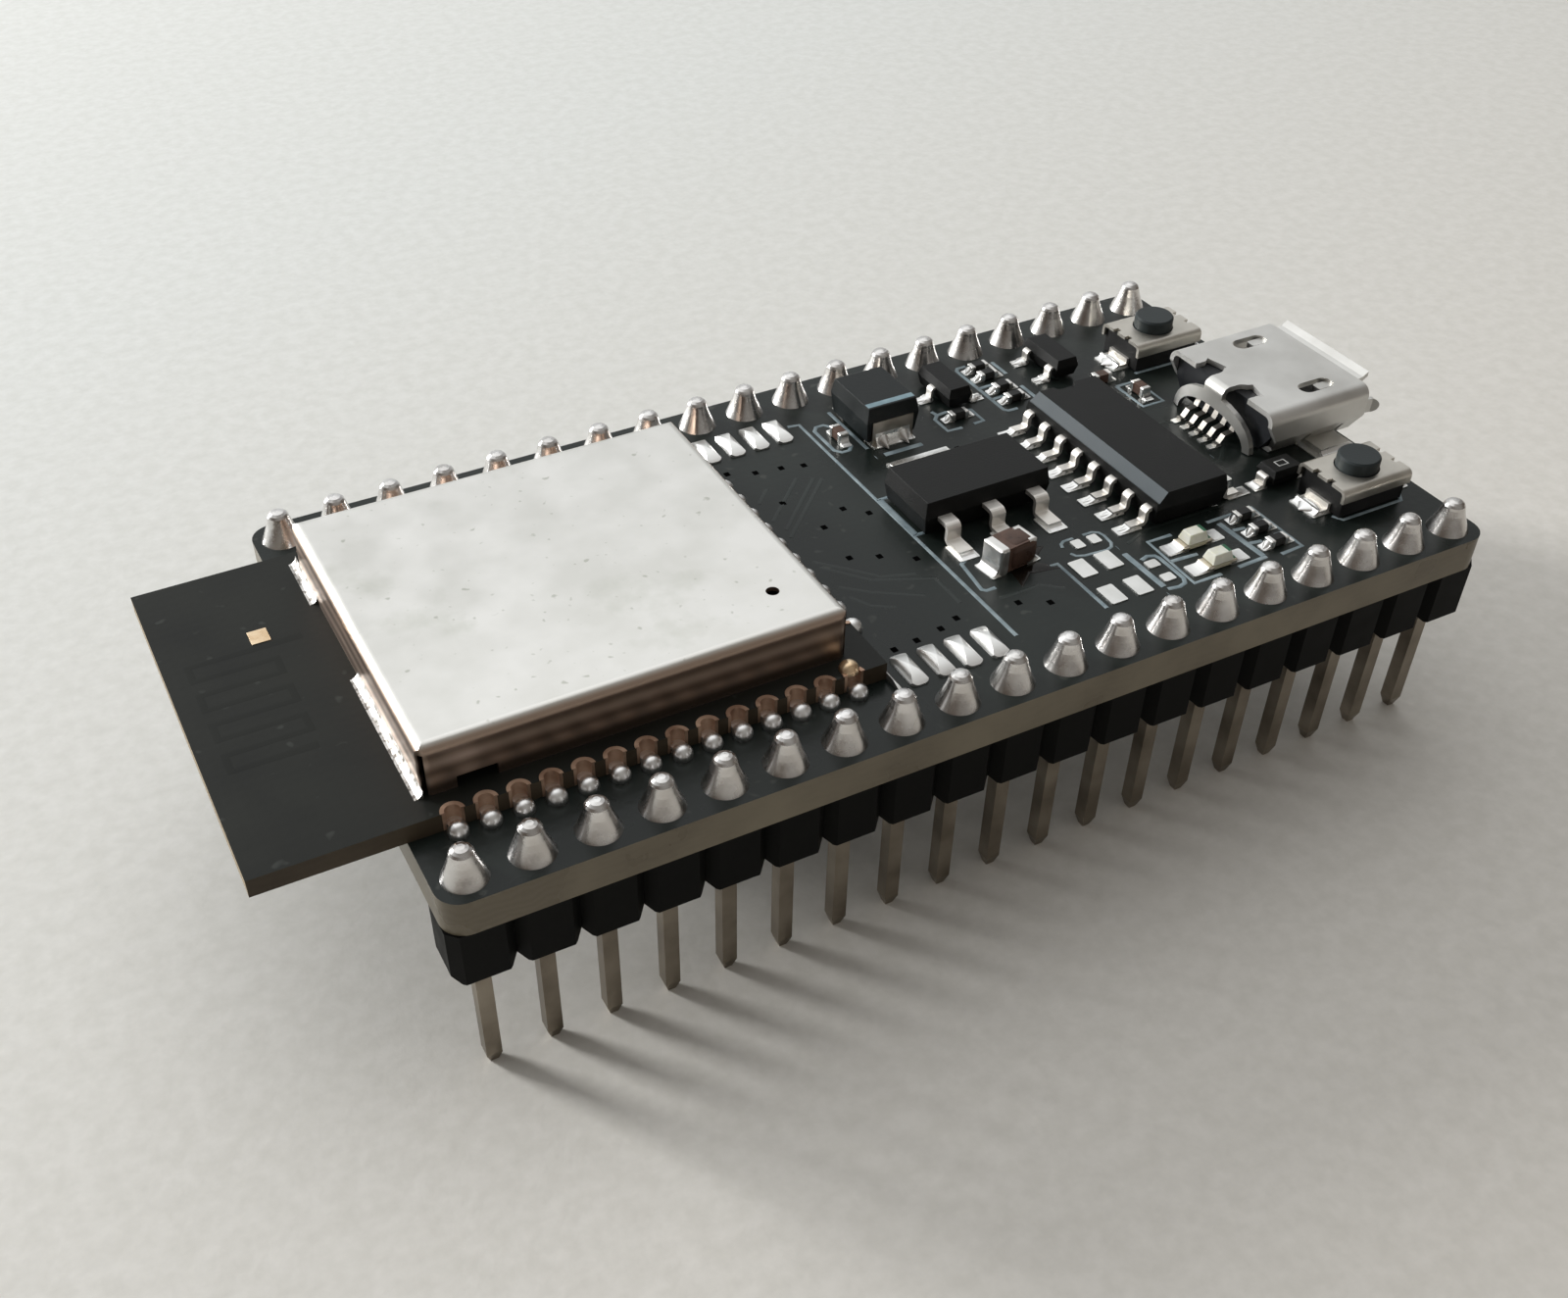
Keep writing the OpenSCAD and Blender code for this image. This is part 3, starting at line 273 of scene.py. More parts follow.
def laminate(name, low, high, gloss, edge, fleck_tone, end_tone=None, mirror=0.25):
    """Lacquered faces with pale flecks of dust and a faint weave, and a layered bare edge"""
    material = surface(name, low, high, gloss, 260, 7000, 0.0025, mirror=mirror)
    tree, shader = workings(material)
    skin = tree.nodes["surface_drift"]
    weave = add_node(tree, "ShaderNodeMath", operation="MULTIPLY")
    tree.links.new(bands(tree, "X", 620, 1.5), weave.inputs[0])
    tree.links.new(bands(tree, "Y", 620, 1.5), weave.inputs[1])
    add_relief(material, weave.outputs[0], 0.002)
    dusty = mix_colour(tree, skin.outputs["Fleck"], source_of(shader, "Base Color"), fleck_tone)
    level = add_node(tree, "ShaderNodeMath", operation="ABSOLUTE")
    tree.links.new(along(tree, face_normal(tree), (0, 0, 1)), level.inputs[0])
    upright = map_range(tree, level.outputs[0], 0.6, 0.4, 0, 1)
    layers = map_range(tree, bands(tree, "Z", 900, 9, 4), 0, 1, 0, 0.12)
    resin = mix_colour(tree, skin.outputs["Cloud"], edge[0], edge[1])
    bare = mix_colour(tree, layers, resin, edge[1])
    if end_tone:
        free_end = map_range(tree, along(tree, face_normal(tree), (1, 0, 0)), -0.4, -0.7, 0, 1)
        bare = mix_colour(tree, free_end, bare, end_tone)
    tree.links.new(mix_colour(tree, upright, dusty, bare), shader.inputs["Base Color"])
    return material


board_lacquer = laminate("carrier_lacquer", (0.010, 0.014, 0.0125), (0.017, 0.022, 0.0195),
                         (0.26, 0.38), ((0.150, 0.128, 0.092), (0.230, 0.202, 0.148)),
                         (0.04, 0.045, 0.04))
dress(board_lacquer, "carrier_board")
board_low, board_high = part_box("carrier_board")
board_x = (board_low[0] + board_high[0]) / 2
board_top = board_high[2]


def on_board(x, y, z=0.0):
    """Place in metres of a spot given in millimetres from the middle of the board's upper face"""
    return Vector((board_x + x * MM, y * MM, board_top + z * MM))


def flat_run(name, runs, width, rise, material, level=0.0, closed=False):
    """Lines of ink or copper: round cords along each run, pressed flat on the board"""
    curve = bpy.data.curves.new(name, "CURVE")
    curve.dimensions = "3D"
    curve.bevel_depth = width * MM / 2
    curve.bevel_resolution = 1
    curve.use_fill_caps = True
    for run in runs:
        line = curve.splines.new("POLY")
        line.points.add(len(run) - 1)
        line.use_cyclic_u = closed
        for point, spot in zip(line.points, run):
            point.co = (board_x + spot[0] * MM, spot[1] * MM, 0, 1)
    piece = bpy.data.objects.new(name, curve)
    bpy.context.scene.collection.objects.link(piece)
    deselect()
    piece.select_set(True)
    bpy.context.view_layer.objects.active = piece
    bpy.ops.object.convert(target="MESH")
    bpy.ops.object.mode_set(mode="EDIT")
    bpy.ops.mesh.select_all(action="SELECT")
    bpy.ops.transform.resize(value=(1, 1, 2 * rise / width), center_override=(0, 0, 0))
    bpy.ops.transform.translate(value=(0, 0, board_top + level * MM))
    bpy.ops.object.mode_set(mode="OBJECT")
    bpy.ops.object.shade_flat()
    piece.data.materials.clear()
    piece.data.materials.append(material)
    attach(piece, "board")


# Copper runs under the lacquer stand a little proud of the board. Most run side by side at a slant.
lacquered_copper = surface("lacquered_copper", (0.019, 0.025, 0.023), (0.030, 0.037, 0.034),
                           (0.22, 0.32), 260, 7000, 0.0025)
track_width = 0.2
track_rise = 0.01
track_runs = [
    [(-2.17, 5.0), (-3.05, 4.1)], [(-0.55, 5.15), (-3.15, 2.6)], [(0.14, 4.8), (-2.95, 1.75)],
    [(0.49, 4.6), (-3.05, 1.15)], [(-3.1, -0.85), (-1.0, -3.13), (0.4, -3.6)],
    [(-3.05, -1.35), (-1.5, -3.16), (0.96, -4.26), (0.96, -6.2)],
    [(-3.0, -2.95), (-1.95, -3.9), (-0.05, -5.1)], [(-2.95, -3.75), (-2.43, -4.7), (-1.57, -5.25)],
    [(2.6, -6.7), (4.6, -6.7), (5.4, -7.4)], [(9.7, -6.0), (11.0, -5.5), (15.6, -5.5), (17.0, -4.1)],
    [(13.5, 5.0), (16.6, 5.0), (18.2, 3.4)], [(5.9, 6.6), (7.1, 7.3)],
    [(16.2, -2.6), (17.6, -2.6), (18.6, -1.6)], [(16.2, 1.3), (17.4, 1.3), (18.9, 0.4)]]
flat_run("copper_runs", track_runs, track_width, track_rise, lacquered_copper)

# Small plated holes, each a dimple in the lacquer over its barrel. The dimple is not cut: a dull
# near-black spot, a hair proud of the lacquer, is painted in its place as its shade.
via_painted_shade = surface("via_painted_shade", (0.002, 0.002, 0.002), (0.004, 0.004, 0.004), (0.8, 0.95), 1500, 9000,
                   0.002, mirror=0)
via_width = 0.32
via_half = 0.13
via_rise = 0.012
via_places = [
    (-3.24, 6.93), (-2.02, 6.43), (-0.78, 6.24), (0.26, 5.96), (-3.1, -7.6), (-1.98, -7.5),
    (-0.7, -7.3), (0.24, -7.0), (-2.09, 3.67), (0.09, 2.04), (-1.37, 1.17), (0.96, 1.22),
    (-1.54, -1.33), (-0.33, -1.83), (1.0, -2.7), (3.1, -7.3), (4.3, -7.9), (7.4, 3.9), (14.9, -4.2)]
flat_run("via_shade_spots", [[(x - via_half, y), (x + via_half, y)] for x, y in via_places], via_width,
         via_rise, via_painted_shade)


# ---- Printed outlines on the board ----
# White epoxy ink, screen printed on the lacquer and baked. It marks where the parts go, a little
# uneven at its edges. The places of the printed names stay bare.
white_ink = surface("white_ink", (0.20, 0.26, 0.29), (0.34, 0.41, 0.44), (0.55, 0.7), 1500, 12000,
                    0.003)
ink_rise = 0.02
line_width = 0.2
broad_width = 0.28
ring_width = 0.15
dot_width = 0.34
printed_lines = [
    [(1.2, 9.25), (1.78, 9.15), (1.78, -9.1)], [(1.78, 1.9), (2.5, 1.9)],
    [(1.78, -1.2), (2.5, -1.2)],
    [(3.1, -3.72), (2.84, -3.73), (2.49, -3.95), (2.25, -5.85), (2.4, -6.0), (2.85, -6.0)],
    [(5.4, -5.8), (6.15, -5.8), (6.15, -9.3)],
    [(11.8, -6.32), (10.55, -6.3), (10.45, -9.6), (11.88, -9.6)], [(10.5, -7.9), (11.9, -7.98)],
    [(13.76, -6.3), (16.3, -6.26), (16.3, -9.58), (15.1, -9.65)], [(12.83, -9.55), (14.4, -9.5)],
    [(14.4, -7.3), (15.0, -7.4)], [(14.4, -8.4), (15.0, -8.5)], [(15.8, -7.3), (16.3, -7.3)],
    [(15.8, -8.4), (16.3, -8.4)],
    [(19.0, -8.45), (19.25, -8.9), (22.6, -8.9), (22.9, -8.45)], [(19.0, 5.65), (22.9, 5.65)],
    [(3.6, 9.5), (3.6, 5.8)],
    [(8.1, 6.9), (8.03, 7.23)], [(8.7, 6.9), (8.1, 6.85), (7.8, 6.55), (7.8, 5.4), (8.57, 5.35)],
    [(9.35, 6.75), (9.85, 6.55), (9.83, 5.42), (9.26, 5.39)],
    [(11.89, 10.16), (11.4, 10.15), (11.24, 9.95), (11.25, 5.8), (11.4, 5.62), (11.92, 5.6)],
    [(11.25, 8.0), (12.9, 8.1)], [(11.25, 6.85), (12.0, 6.9)], [(13.3, 9.9), (13.3, 8.6)],
    [(13.3, 7.3), (13.3, 5.9)],
    [(17.4, 5.05), (18.6, 5.05), (18.6, 2.9), (17.4, 2.9), (17.4, 5.05)],
    [(9.48, -7.25), (9.88, -7.12), (10.2, -7.25), (10.27, -7.5), (10.27, -9.1), (10.1, -9.4),
     (9.75, -9.5), (9.2, -9.4)]]
flat_run("printed_lines", printed_lines, line_width, ink_rise, white_ink)
printed_rings = [
    [(7.03, -4.95), (7.12, -4.7), (7.34, -4.56), (7.84, -4.56)],
    [(8.35, -4.56), (8.85, -4.56), (9.1, -4.72), (9.18, -5.0), (9.12, -5.6), (8.95, -5.85),
     (8.65, -5.95), (7.55, -5.85), (7.2, -5.7), (7.08, -5.45)]]
flat_run("printed_rings", printed_rings, ring_width, ink_rise, white_ink)
broad_lines = [[(14.2, -6.6), (14.32, -9.4)], [(4.05, 5.0), (6.1, 5.0)], [(1.92, 1.9), (1.92, -1.2)],
               [(9.12, -6.53), (9.16, -9.2)]]
flat_run("printed_broad_lines", broad_lines, broad_width, ink_rise, white_ink)
dots = [(9.12, -6.04), (9.0, -9.72), (3.57, 5.0), (17.45, -2.15)]
flat_run("printed_dots", [[(x, y), (x + 0.01, y)] for x, y in dots], dot_width, ink_rise, white_ink)
printed_box = [(2.4, 8.6), (2.8, 8.6), (3.05, 8.3), (3.05, 6.4), (2.8, 6.1), (2.4, 6.1), (2.15, 6.4),
               (2.15, 8.3)]
flat_run("printed_box", [printed_box], line_width, ink_rise, white_ink, closed=True)


# ---- Pin headers ----
# Square brass pins, tinned thinly and pressed through a strip of black glass-filled nylon. Every pin
# is hand soldered from above, and the solder closes over its tip in a cone.
def score_lines(material, stretch, scale, depth):
    """Rolled or drawn lines in place of the fine grain, long the way that the metal ran"""
    tree, shader = workings(material)
    tree.links.new(raised(tree, noise(tree, scale, stretch=stretch), depth), shader.inputs["Normal"])


def solder_skin(name, low, high, gloss, waves, depth):
    """Frozen solder: bright, with slow waves in its surface and duller patches of flux"""
    material = surface(name, low, high, gloss, 900, 15000, 0.0006, metal=1.0)
    add_relief(material, noise(material.node_tree, waves, 1), depth)
    return material


strip_nylon = surface("strip_nylon", (0.0035, 0.0037, 0.0035), (0.007, 0.0072, 0.0065),
                      (0.42, 0.58), 700, 14000, 0.006, mirror=0.07)
dress(strip_nylon, "header_strip_near", "header_strip_far")
pin_brass = surface("pin_brass", (0.19, 0.16, 0.125), (0.33, 0.29, 0.235), (0.30, 0.46), 420,
                    metal=1.0)
score_lines(pin_brass, (1, 1, 0.05), 9000, 0.004)
dress(pin_brass, "header_pins_near", "header_pins_far")
cone_solder = solder_skin("cone_solder", (0.58, 0.56, 0.54), (0.78, 0.77, 0.76), (0.20, 0.32), 1100,
                          0.012)
dress(cone_solder, "pin_solder_near", "pin_solder_far")


# ---- Radio module ----
# A thin laminate board under matt black lacquer, with half holes plated in copper along three edges
# and an aerial track folded under the lacquer at its free end.
module_lacquer = laminate("module_lacquer", (0.010, 0.011, 0.0092), (0.016, 0.0175, 0.0145),
                          (0.42, 0.54), ((0.045, 0.034, 0.022), (0.085, 0.066, 0.045)),
                          (0.035, 0.038, 0.034), end_tone=(0.30, 0.235, 0.15), mirror=0.18)
dress(module_lacquer, "module_board")
module_low, module_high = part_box("module_board")
module_rise = (module_high[2] - board_top) / MM

aerial_lacquer = surface("aerial_lacquer", (0.0085, 0.0095, 0.008), (0.014, 0.0155, 0.0125),
                         (0.42, 0.54), 260, 7000, 0.0025, mirror=0.16)
aerial_width = 0.42
aerial_rise = 0.0025
aerial_folds = 7
aerial_pitch = 0.95
aerial_y = 3.3
aerial_x = (module_low[0] - board_x) / MM
aerial_near = aerial_x + 1.0
aerial_far = aerial_x + 4.3
aerial = [(aerial_x + 5.6, aerial_y), (aerial_near, aerial_y)]
for fold in range(1, aerial_folds + 1):
    ends = (aerial_near, aerial_far) if fold % 2 else (aerial_far, aerial_near)
    aerial += [(x, aerial_y - aerial_pitch * fold) for x in ends]
flat_run("aerial_track", [aerial], aerial_width, aerial_rise, aerial_lacquer, level=module_rise)

castle_copper = surface("castle_copper", (0.40, 0.25, 0.175), (0.62, 0.43, 0.31), (0.36, 0.52), 1200,
                        metal=0.6)
dress(castle_copper, "castellations")
ball_solder = solder_skin("ball_solder", (0.76, 0.75, 0.74), (0.90, 0.90, 0.89), (0.26, 0.40), 1600,
                          0.015)
dress(ball_solder, "module_solder_near", "module_solder_far", "module_solder_end")
pad_solder = solder_skin("pad_solder", (0.78, 0.78, 0.76), (0.90, 0.90, 0.885), (0.34, 0.50), 1000,
                         0.014)
dress(pad_solder, "spare_solder")

# Gold on the test pad of the aerial end, and on the ball in the corner by the last half hole
pad_gold = surface("pad_gold", (0.80, 0.58, 0.36), (0.92, 0.74, 0.52), (0.25, 0.38), 1500, metal=1.0)


def thin_plate(name, x, y, length, width, level, rise, bevel, material):
    """Small flat plate with softened edges, its foot level millimetres above the board"""
    deselect()
    bpy.ops.mesh.primitive_cube_add(size=1, location=(0, 0, 0))
    piece = bpy.context.object
    piece.name = name
    bpy.ops.object.mode_set(mode="EDIT")
    bpy.ops.mesh.select_all(action="SELECT")
    bpy.ops.transform.resize(value=(length * MM, width * MM, rise * MM), center_override=(0, 0, 0))
    bpy.ops.mesh.bevel(offset=bevel * MM, segments=2, affect="EDGES")
    bpy.ops.mesh.select_all(action="SELECT")
    bpy.ops.transform.translate(value=on_board(x, y, level + rise / 2))
    bpy.ops.object.mode_set(mode="OBJECT")
    piece.data.materials.append(material)
    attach(piece, "board")


thin_plate("aerial_test_pad", -25.8, 4.0, 0.78, 0.87, module_rise, 0.03, 0.01, pad_gold)


# ---- Shield can ----
# Nickel silver sheet, 0.2 mm thick, cut and folded in a press and reflow soldered to the module. Its
# satin top has the faint clouds and stains of handling. Its walls are painted darker and browner, in
# soft bands, as painted shade and painted reflection of the dark room around them.
can_sheet = surface("can_sheet", (0.715, 0.705, 0.665), (0.80, 0.79, 0.76), (0.34, 0.46), 420, 11000,
                    0.0015, metal=1.0)
rolled = (0.04, 1, 1)
score_lines(can_sheet, rolled, 9000, 0.0012)
tree, shader = workings(can_sheet)
add_relief(can_sheet, noise(tree, 160), 0.02)
skin = tree.nodes["surface_drift"]
stains = map_range(tree, noise(tree, 190, 5, 0.6), 0.60, 0.74, 0, 0.45)
stained = mix_colour(tree, stains, source_of(shader, "Base Color"), (0.50, 0.51, 0.44))
spots = map_range(tree, skin.outputs["Fleck"], 0, 1, 0, 0.5)
spotted = mix_colour(tree, spots, stained, (0.33, 0.34, 0.27))
# Painted shade and reflection: the upright walls are painted darker brown, in soft horizontal bands.
painted_wall_shade = mix_colour(tree, bands(tree, "Z", 420, 0.5, 0, rolled), (0.22, 0.16, 0.125),
                     (0.50, 0.385, 0.31))
upright = map_range(tree, along(tree, face_normal(tree), (0, 0, 1)), 0.9, 0.6, 0, 1)
tree.links.new(mix_colour(tree, upright, spotted, painted_wall_shade), shader.inputs["Base Color"])
rubbed = add_node(tree, "ShaderNodeMix", data_type="FLOAT")
tree.links.new(upright, rubbed.inputs["Factor"])
tree.links.new(map_range(tree, skin.outputs["Cloud"], 0, 1, 0.32, 0.44), rubbed.inputs[2])
rubbed.inputs[3].default_value = 0.40
tree.links.new(rubbed.outputs[0], shader.inputs["Roughness"])
dress(can_sheet, "shield_can")

# The fillet at the can's front foot froze rough, with pits of burnt flux
fillet_solder = solder_skin("fillet_solder", (0.42, 0.40, 0.37), (0.70, 0.69, 0.67), (0.30, 0.50),
                            2600, 0.05)
tree, shader = workings(fillet_solder)
pits = map_range(tree, noise(tree, 4200), 0.46, 0.60, 0, 0.85)
tree.links.new(mix_colour(tree, pits, source_of(shader, "Base Color"), (0.12, 0.105, 0.09)),
               shader.inputs["Base Color"])
dress(fillet_solder, "shield_solder")


# ---- Chips and parts under the can ----
# A radio chip, a memory chip with eight leads, a seam-sealed crystal and small capacitors. They are
# closed in, and only the windows at the foot of the can look in on them.
chip_epoxy = surface("chip_epoxy", (0.018, 0.018, 0.0175), (0.034, 0.034, 0.033), (0.48, 0.62), 500,
                     16000, 0.008)
dress(chip_epoxy, "radio_chip", "flash_chip")
crystal_lid = surface("crystal_lid", (0.60, 0.58, 0.52), (0.74, 0.72, 0.66), (0.22, 0.34), 500, 9000,
                      0.002, metal=1.0)
dress(crystal_lid, "crystal_can")
tan_ceramic = surface("tan_ceramic", (0.085, 0.048, 0.036), (0.135, 0.082, 0.062), (0.30, 0.42),
                      1500, 16000, 0.004)
dress(tan_ceramic, "module_passives")


# ---- Serial chip ----
# A moulded chip with eight gull-wing leads a side. The epoxy is transfer moulded, so its faces are
# drafted and a little frosted, and the edge along the first lead has a smoother bevel, whose face is
# also painted paler and bluer as a painted highlight.
def soften(name, width):
    """Tiny moulding radius on the sharp edges of a node, as a live modifier"""
    piece = nodes[name]
    weld = piece.modifiers.new("join_edges", "WELD")
    weld.merge_threshold = 0.0005 * MM
    edge = piece.modifiers.new("edge_radius", "BEVEL")
    edge.width = width * MM
    edge.segments = 2
    edge.limit_method = "ANGLE"
    edge.angle_limit = math.radians(35)
    edge.harden_normals = True


epoxy_dark = (0.006, 0.0062, 0.006)
epoxy_pale = (0.012, 0.0125, 0.012)
frosted_epoxy = surface("frosted_epoxy", epoxy_dark, epoxy_pale, (0.36, 0.50), 600, 15000, 0.010,
                        mirror=0.16)
epoxy_bevel_highlight = surface("epoxy_bevel_highlight", epoxy_dark, epoxy_pale, (0.36, 0.50), 600, 15000, 0.006,
                         mirror=0.16)
tree, shader = workings(epoxy_bevel_highlight)
bevel_way = (-0.707, 0, 0.707)
bevel_face = map_range(tree, along(tree, face_normal(tree), bevel_way), 0.90, 0.96, 0, 1)
tree.links.new(map_range(tree, bevel_face, 0, 1, 0, 0.4), shader.inputs["Coat Weight"])
shader.inputs["Coat Roughness"].default_value = 0.4
# Painted highlight: the bevel face is painted a paler, bluish colour for the bright sky that it
# mirrors.
tree.links.new(mix_colour(tree, bevel_face, source_of(shader, "Base Color"), (0.032, 0.047, 0.056)),
               shader.inputs["Base Color"])
dress(epoxy_bevel_highlight, "serial_chip_body")
soften("serial_chip_body", 0.05)
tinned_lead = surface("tinned_lead", (0.78, 0.75, 0.70), (0.92, 0.895, 0.85), (0.40, 0.54), 1300,
                      12000, 0.002, metal=0.8)
dress(tinned_lead, "serial_chip_leads")


# ---- Regulator, diode and transistors ----
# Black moulded packages on tinned leads. The regulator's broad tab is soldered flat, because it
# carries the heat into the board.
dress(frosted_epoxy, "regulator_body", "diode_body", "transistor_bodies")
soften("regulator_body", 0.05)
soften("diode_body", 0.03)
soften("transistor_bodies", 0.03)
dress(tinned_lead, "regulator_leads", "diode_leads", "transistor_leads")

# A small printed frame marks the diode
diode_ink = surface("diode_ink", (0.42, 0.43, 0.42), (0.56, 0.57, 0.56), (0.5, 0.6), 1500, 12000,
                    0.003)
diode_low, diode_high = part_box("diode_body")
diode_rise = (diode_high[2] - board_top) / MM
mark_x = ((diode_low[0] + diode_high[0]) / 2 - board_x) / MM
mark_y = (diode_low[1] + diode_high[1]) / 2 / MM
mark_corners = [(mark_x + x, mark_y + y)
                for x, y in ((-0.26, -0.18), (0.26, -0.18), (0.26, 0.18), (-0.26, 0.18))]
flat_run("diode_mark", [mark_corners], 0.08, 0.012, diode_ink, level=diode_rise, closed=True)


# ---- Tantalum capacitor ----
# A moulded black case on wrapped tinned strips. A printed bar marks its positive end, and the strips
# stand in two lumps of solder.
dark_epoxy = surface("dark_epoxy", (0.008, 0.0105, 0.0105), (0.015, 0.0185, 0.019), (0.34, 0.48),
                     500, 15000, 0.008, mirror=0.2)
dress(dark_epoxy, "tantalum_body")
soften("tantalum_body", 0.06)
strip_tin = surface("strip_tin", (0.36, 0.32, 0.27), (0.56, 0.52, 0.47), (0.30, 0.45), 900, 12000,
                    0.003, metal=1.0)
dress(strip_tin, "tantalum_terminals")
print_sink = 0.012
bar_ink = surface("bar_ink", (0.17, 0.26, 0.30), (0.26, 0.37, 0.42), (0.45, 0.55), 1200, 12000,
                  0.003)
tantalum_low, tantalum_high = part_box("tantalum_body")
tantalum_rise = (tantalum_high[2] - board_top) / MM
tantalum_x = ((tantalum_low[0] + tantalum_high[0]) / 2 - board_x) / MM
bar_y = tantalum_low[1] / MM + 0.42
thin_plate("polarity_bar", tantalum_x, bar_y, 2.5, 0.34, tantalum_rise - print_sink, 0.02, 0.004,
           bar_ink)


# ---- Chip capacitors and resistors ----
# Sintered ceramic blocks with tinned metal ends. The resistors carry a black glazed film on their
# top, and the solder drags out in a tail from one end of each.
dress(tan_ceramic, "capacitor_bodies")
end_tin = surface("end_tin", (0.72, 0.71, 0.68), (0.86, 0.85, 0.83), (0.30, 0.44), 1500, 12000,
                  0.003, metal=1.0)
dress(end_tin, "capacitor_ends", "resistor_ends")
black_glaze = surface("black_glaze", (0.006, 0.006, 0.006), (0.013, 0.013, 0.0125), (0.30, 0.45),
                      1500, 12000, 0.004)
dress(black_glaze, "resistor_films")
grey_alumina = surface("grey_alumina", (0.02, 0.02, 0.019), (0.045, 0.045, 0.042), (0.5, 0.6), 1500,
                       14000, 0.004)
dress(grey_alumina, "resistor_bodies")
soften("capacitor_bodies", 0.06)
part_solder = solder_skin("part_solder", (0.80, 0.80, 0.78), (0.92, 0.92, 0.91), (0.26, 0.40), 1500,
                          0.012)
dress(part_solder, "component_solder")
tin_plate = solder_skin("tin_plate", (0.78, 0.78, 0.75), (0.90, 0.90, 0.88), (0.32, 0.48), 900,
                        0.012)
dress(tin_plate, "tinned_pads")


def solder_drop(name, material, tail=1.0):
    """Frozen drop of unit size: a round head at X = 0, drawn out by the tail towards -X"""
    deselect()
    bpy.ops.mesh.primitive_uv_sphere_add(segments=24, ring_count=14, radius=0.5, location=(0, 0, 0))
    drop = bpy.context.object
    drop.name = name
    bpy.ops.object.mode_set(mode="EDIT")
    bpy.ops.mesh.select_all(action="SELECT")
    bpy.ops.mesh.bisect(plane_co=(0, 0, 0), plane_no=(0, 0, 1), use_fill=True, clear_inner=True)
    shape = bmesh.from_edit_mesh(drop.data)
    for vertex in shape.verts:
        if vertex.co.x < 0:
            pull = -2 * vertex.co.x * tail
            vertex.co.x *= 1 + 0.9 * pull
            vertex.co.y *= 1 - 0.72 * pull ** 1.5
            vertex.co.z *= 1 - 0.55 * pull
    bmesh.update_edit_mesh(drop.data)
    bpy.ops.mesh.select_all(action="SELECT")
    bpy.ops.mesh.normals_make_consistent(inside=False)
    bpy.ops.object.mode_set(mode="OBJECT")
    bpy.ops.object.shade_smooth_by_angle(angle=math.radians(50))
    drop.data.materials.append(material)
    return drop


tear = solder_drop("solder_drop", part_solder)


def put_drop(name, x, y, level, length, width, height, turn=0, material=part_solder):
    """A drop on the board, its head at x, y and its tail along the turned -X"""
    size = Matrix.Diagonal((length * MM, width * MM, 2 * height * MM, 1))
    swing = Matrix.Rotation(math.radians(turn), 4, "Z")
    piece = tear.copy()
    piece.data = tear.data.copy()
    piece.name = name
    piece.data.transform(Matrix.Translation(on_board(x, y, level)) @ swing @ size)
    piece.data.materials[0] = material
    bpy.context.scene.collection.objects.link(piece)
    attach(piece, "board")


pad_level = 0.05
tail_start = 0.50
resistor_spots = [(12.2, 9.55), (12.2, 8.7), (12.2, 7.4), (12.2, 6.35), (15.38, -6.75),
                  (15.38, -7.85), (15.38, -8.95), (8.85, 6.2)]
for number, (x, y) in enumerate(resistor_spots):
    put_drop("resistor_tail_%d" % number, x - tail_start, y, pad_level, 0.36, 0.44, 0.27, 18)

# The bulk capacitor sits under a rounded brown glaze, with burnt flux spread round its far end
bulk_x = 4.3
bulk_y = -4.75
glaze_size = (1.52 * MM, 1.38 * MM, 1.26 * MM)
glaze_radius = 0.34 * MM
deselect()
bpy.ops.mesh.primitive_cube_add(size=1, location=(0, 0, 0))
glaze = bpy.context.object
glaze.name = "bulk_glaze"
bpy.ops.object.mode_set(mode="EDIT")
bpy.ops.mesh.select_all(action="SELECT")
bpy.ops.transform.resize(value=glaze_size, center_override=(0, 0, 0))
bpy.ops.mesh.bevel(offset=glaze_radius, segments=4, affect="EDGES")
bpy.ops.mesh.select_all(action="SELECT")
bpy.ops.transform.rotate(value=math.radians(-7), orient_axis="Z", center_override=(0, 0, 0))
bpy.ops.transform.translate(value=on_board(bulk_x + 0.3, bulk_y, 0.68))
bpy.ops.object.mode_set(mode="OBJECT")
bpy.ops.object.shade_smooth_by_angle(angle=math.radians(50))
brown_glaze = surface("brown_glaze", (0.060, 0.034, 0.025), (0.105, 0.062, 0.046), (0.26, 0.40),
                      1400, 9000, 0.006)
glaze.data.materials.append(brown_glaze)
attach(glaze, "board")
burnt_flux = surface("burnt_flux", (0.006, 0.0045, 0.0035), (0.014, 0.010, 0.007), (0.10, 0.24),
                     1400, 6000, 0.006)
flux_pools = ((0.75, -0.75, 1.3, 0.9, 150), (0.95, 0.1, 1.2, 1.1, 190), (0.1, -0.85, 1.1, 0.8, 60))
for number, (x, y, length, width, turn) in enumerate(flux_pools):
    put_drop("flux_pool_%d" % number, bulk_x + x, bulk_y + y, 0, length, width, 0.05, turn,
             burnt_flux)

# Round ball of gold plate and solder in the module's near corner
corner_ball = solder_drop("corner_ball", pad_gold, tail=0)
ball_place = Matrix.Translation(on_board(-5.85, -8.62, module_rise - 0.05))
corner_ball.data.transform(ball_place @ Matrix.Scale(0.86 * MM, 4))
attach(corner_ball, "board")


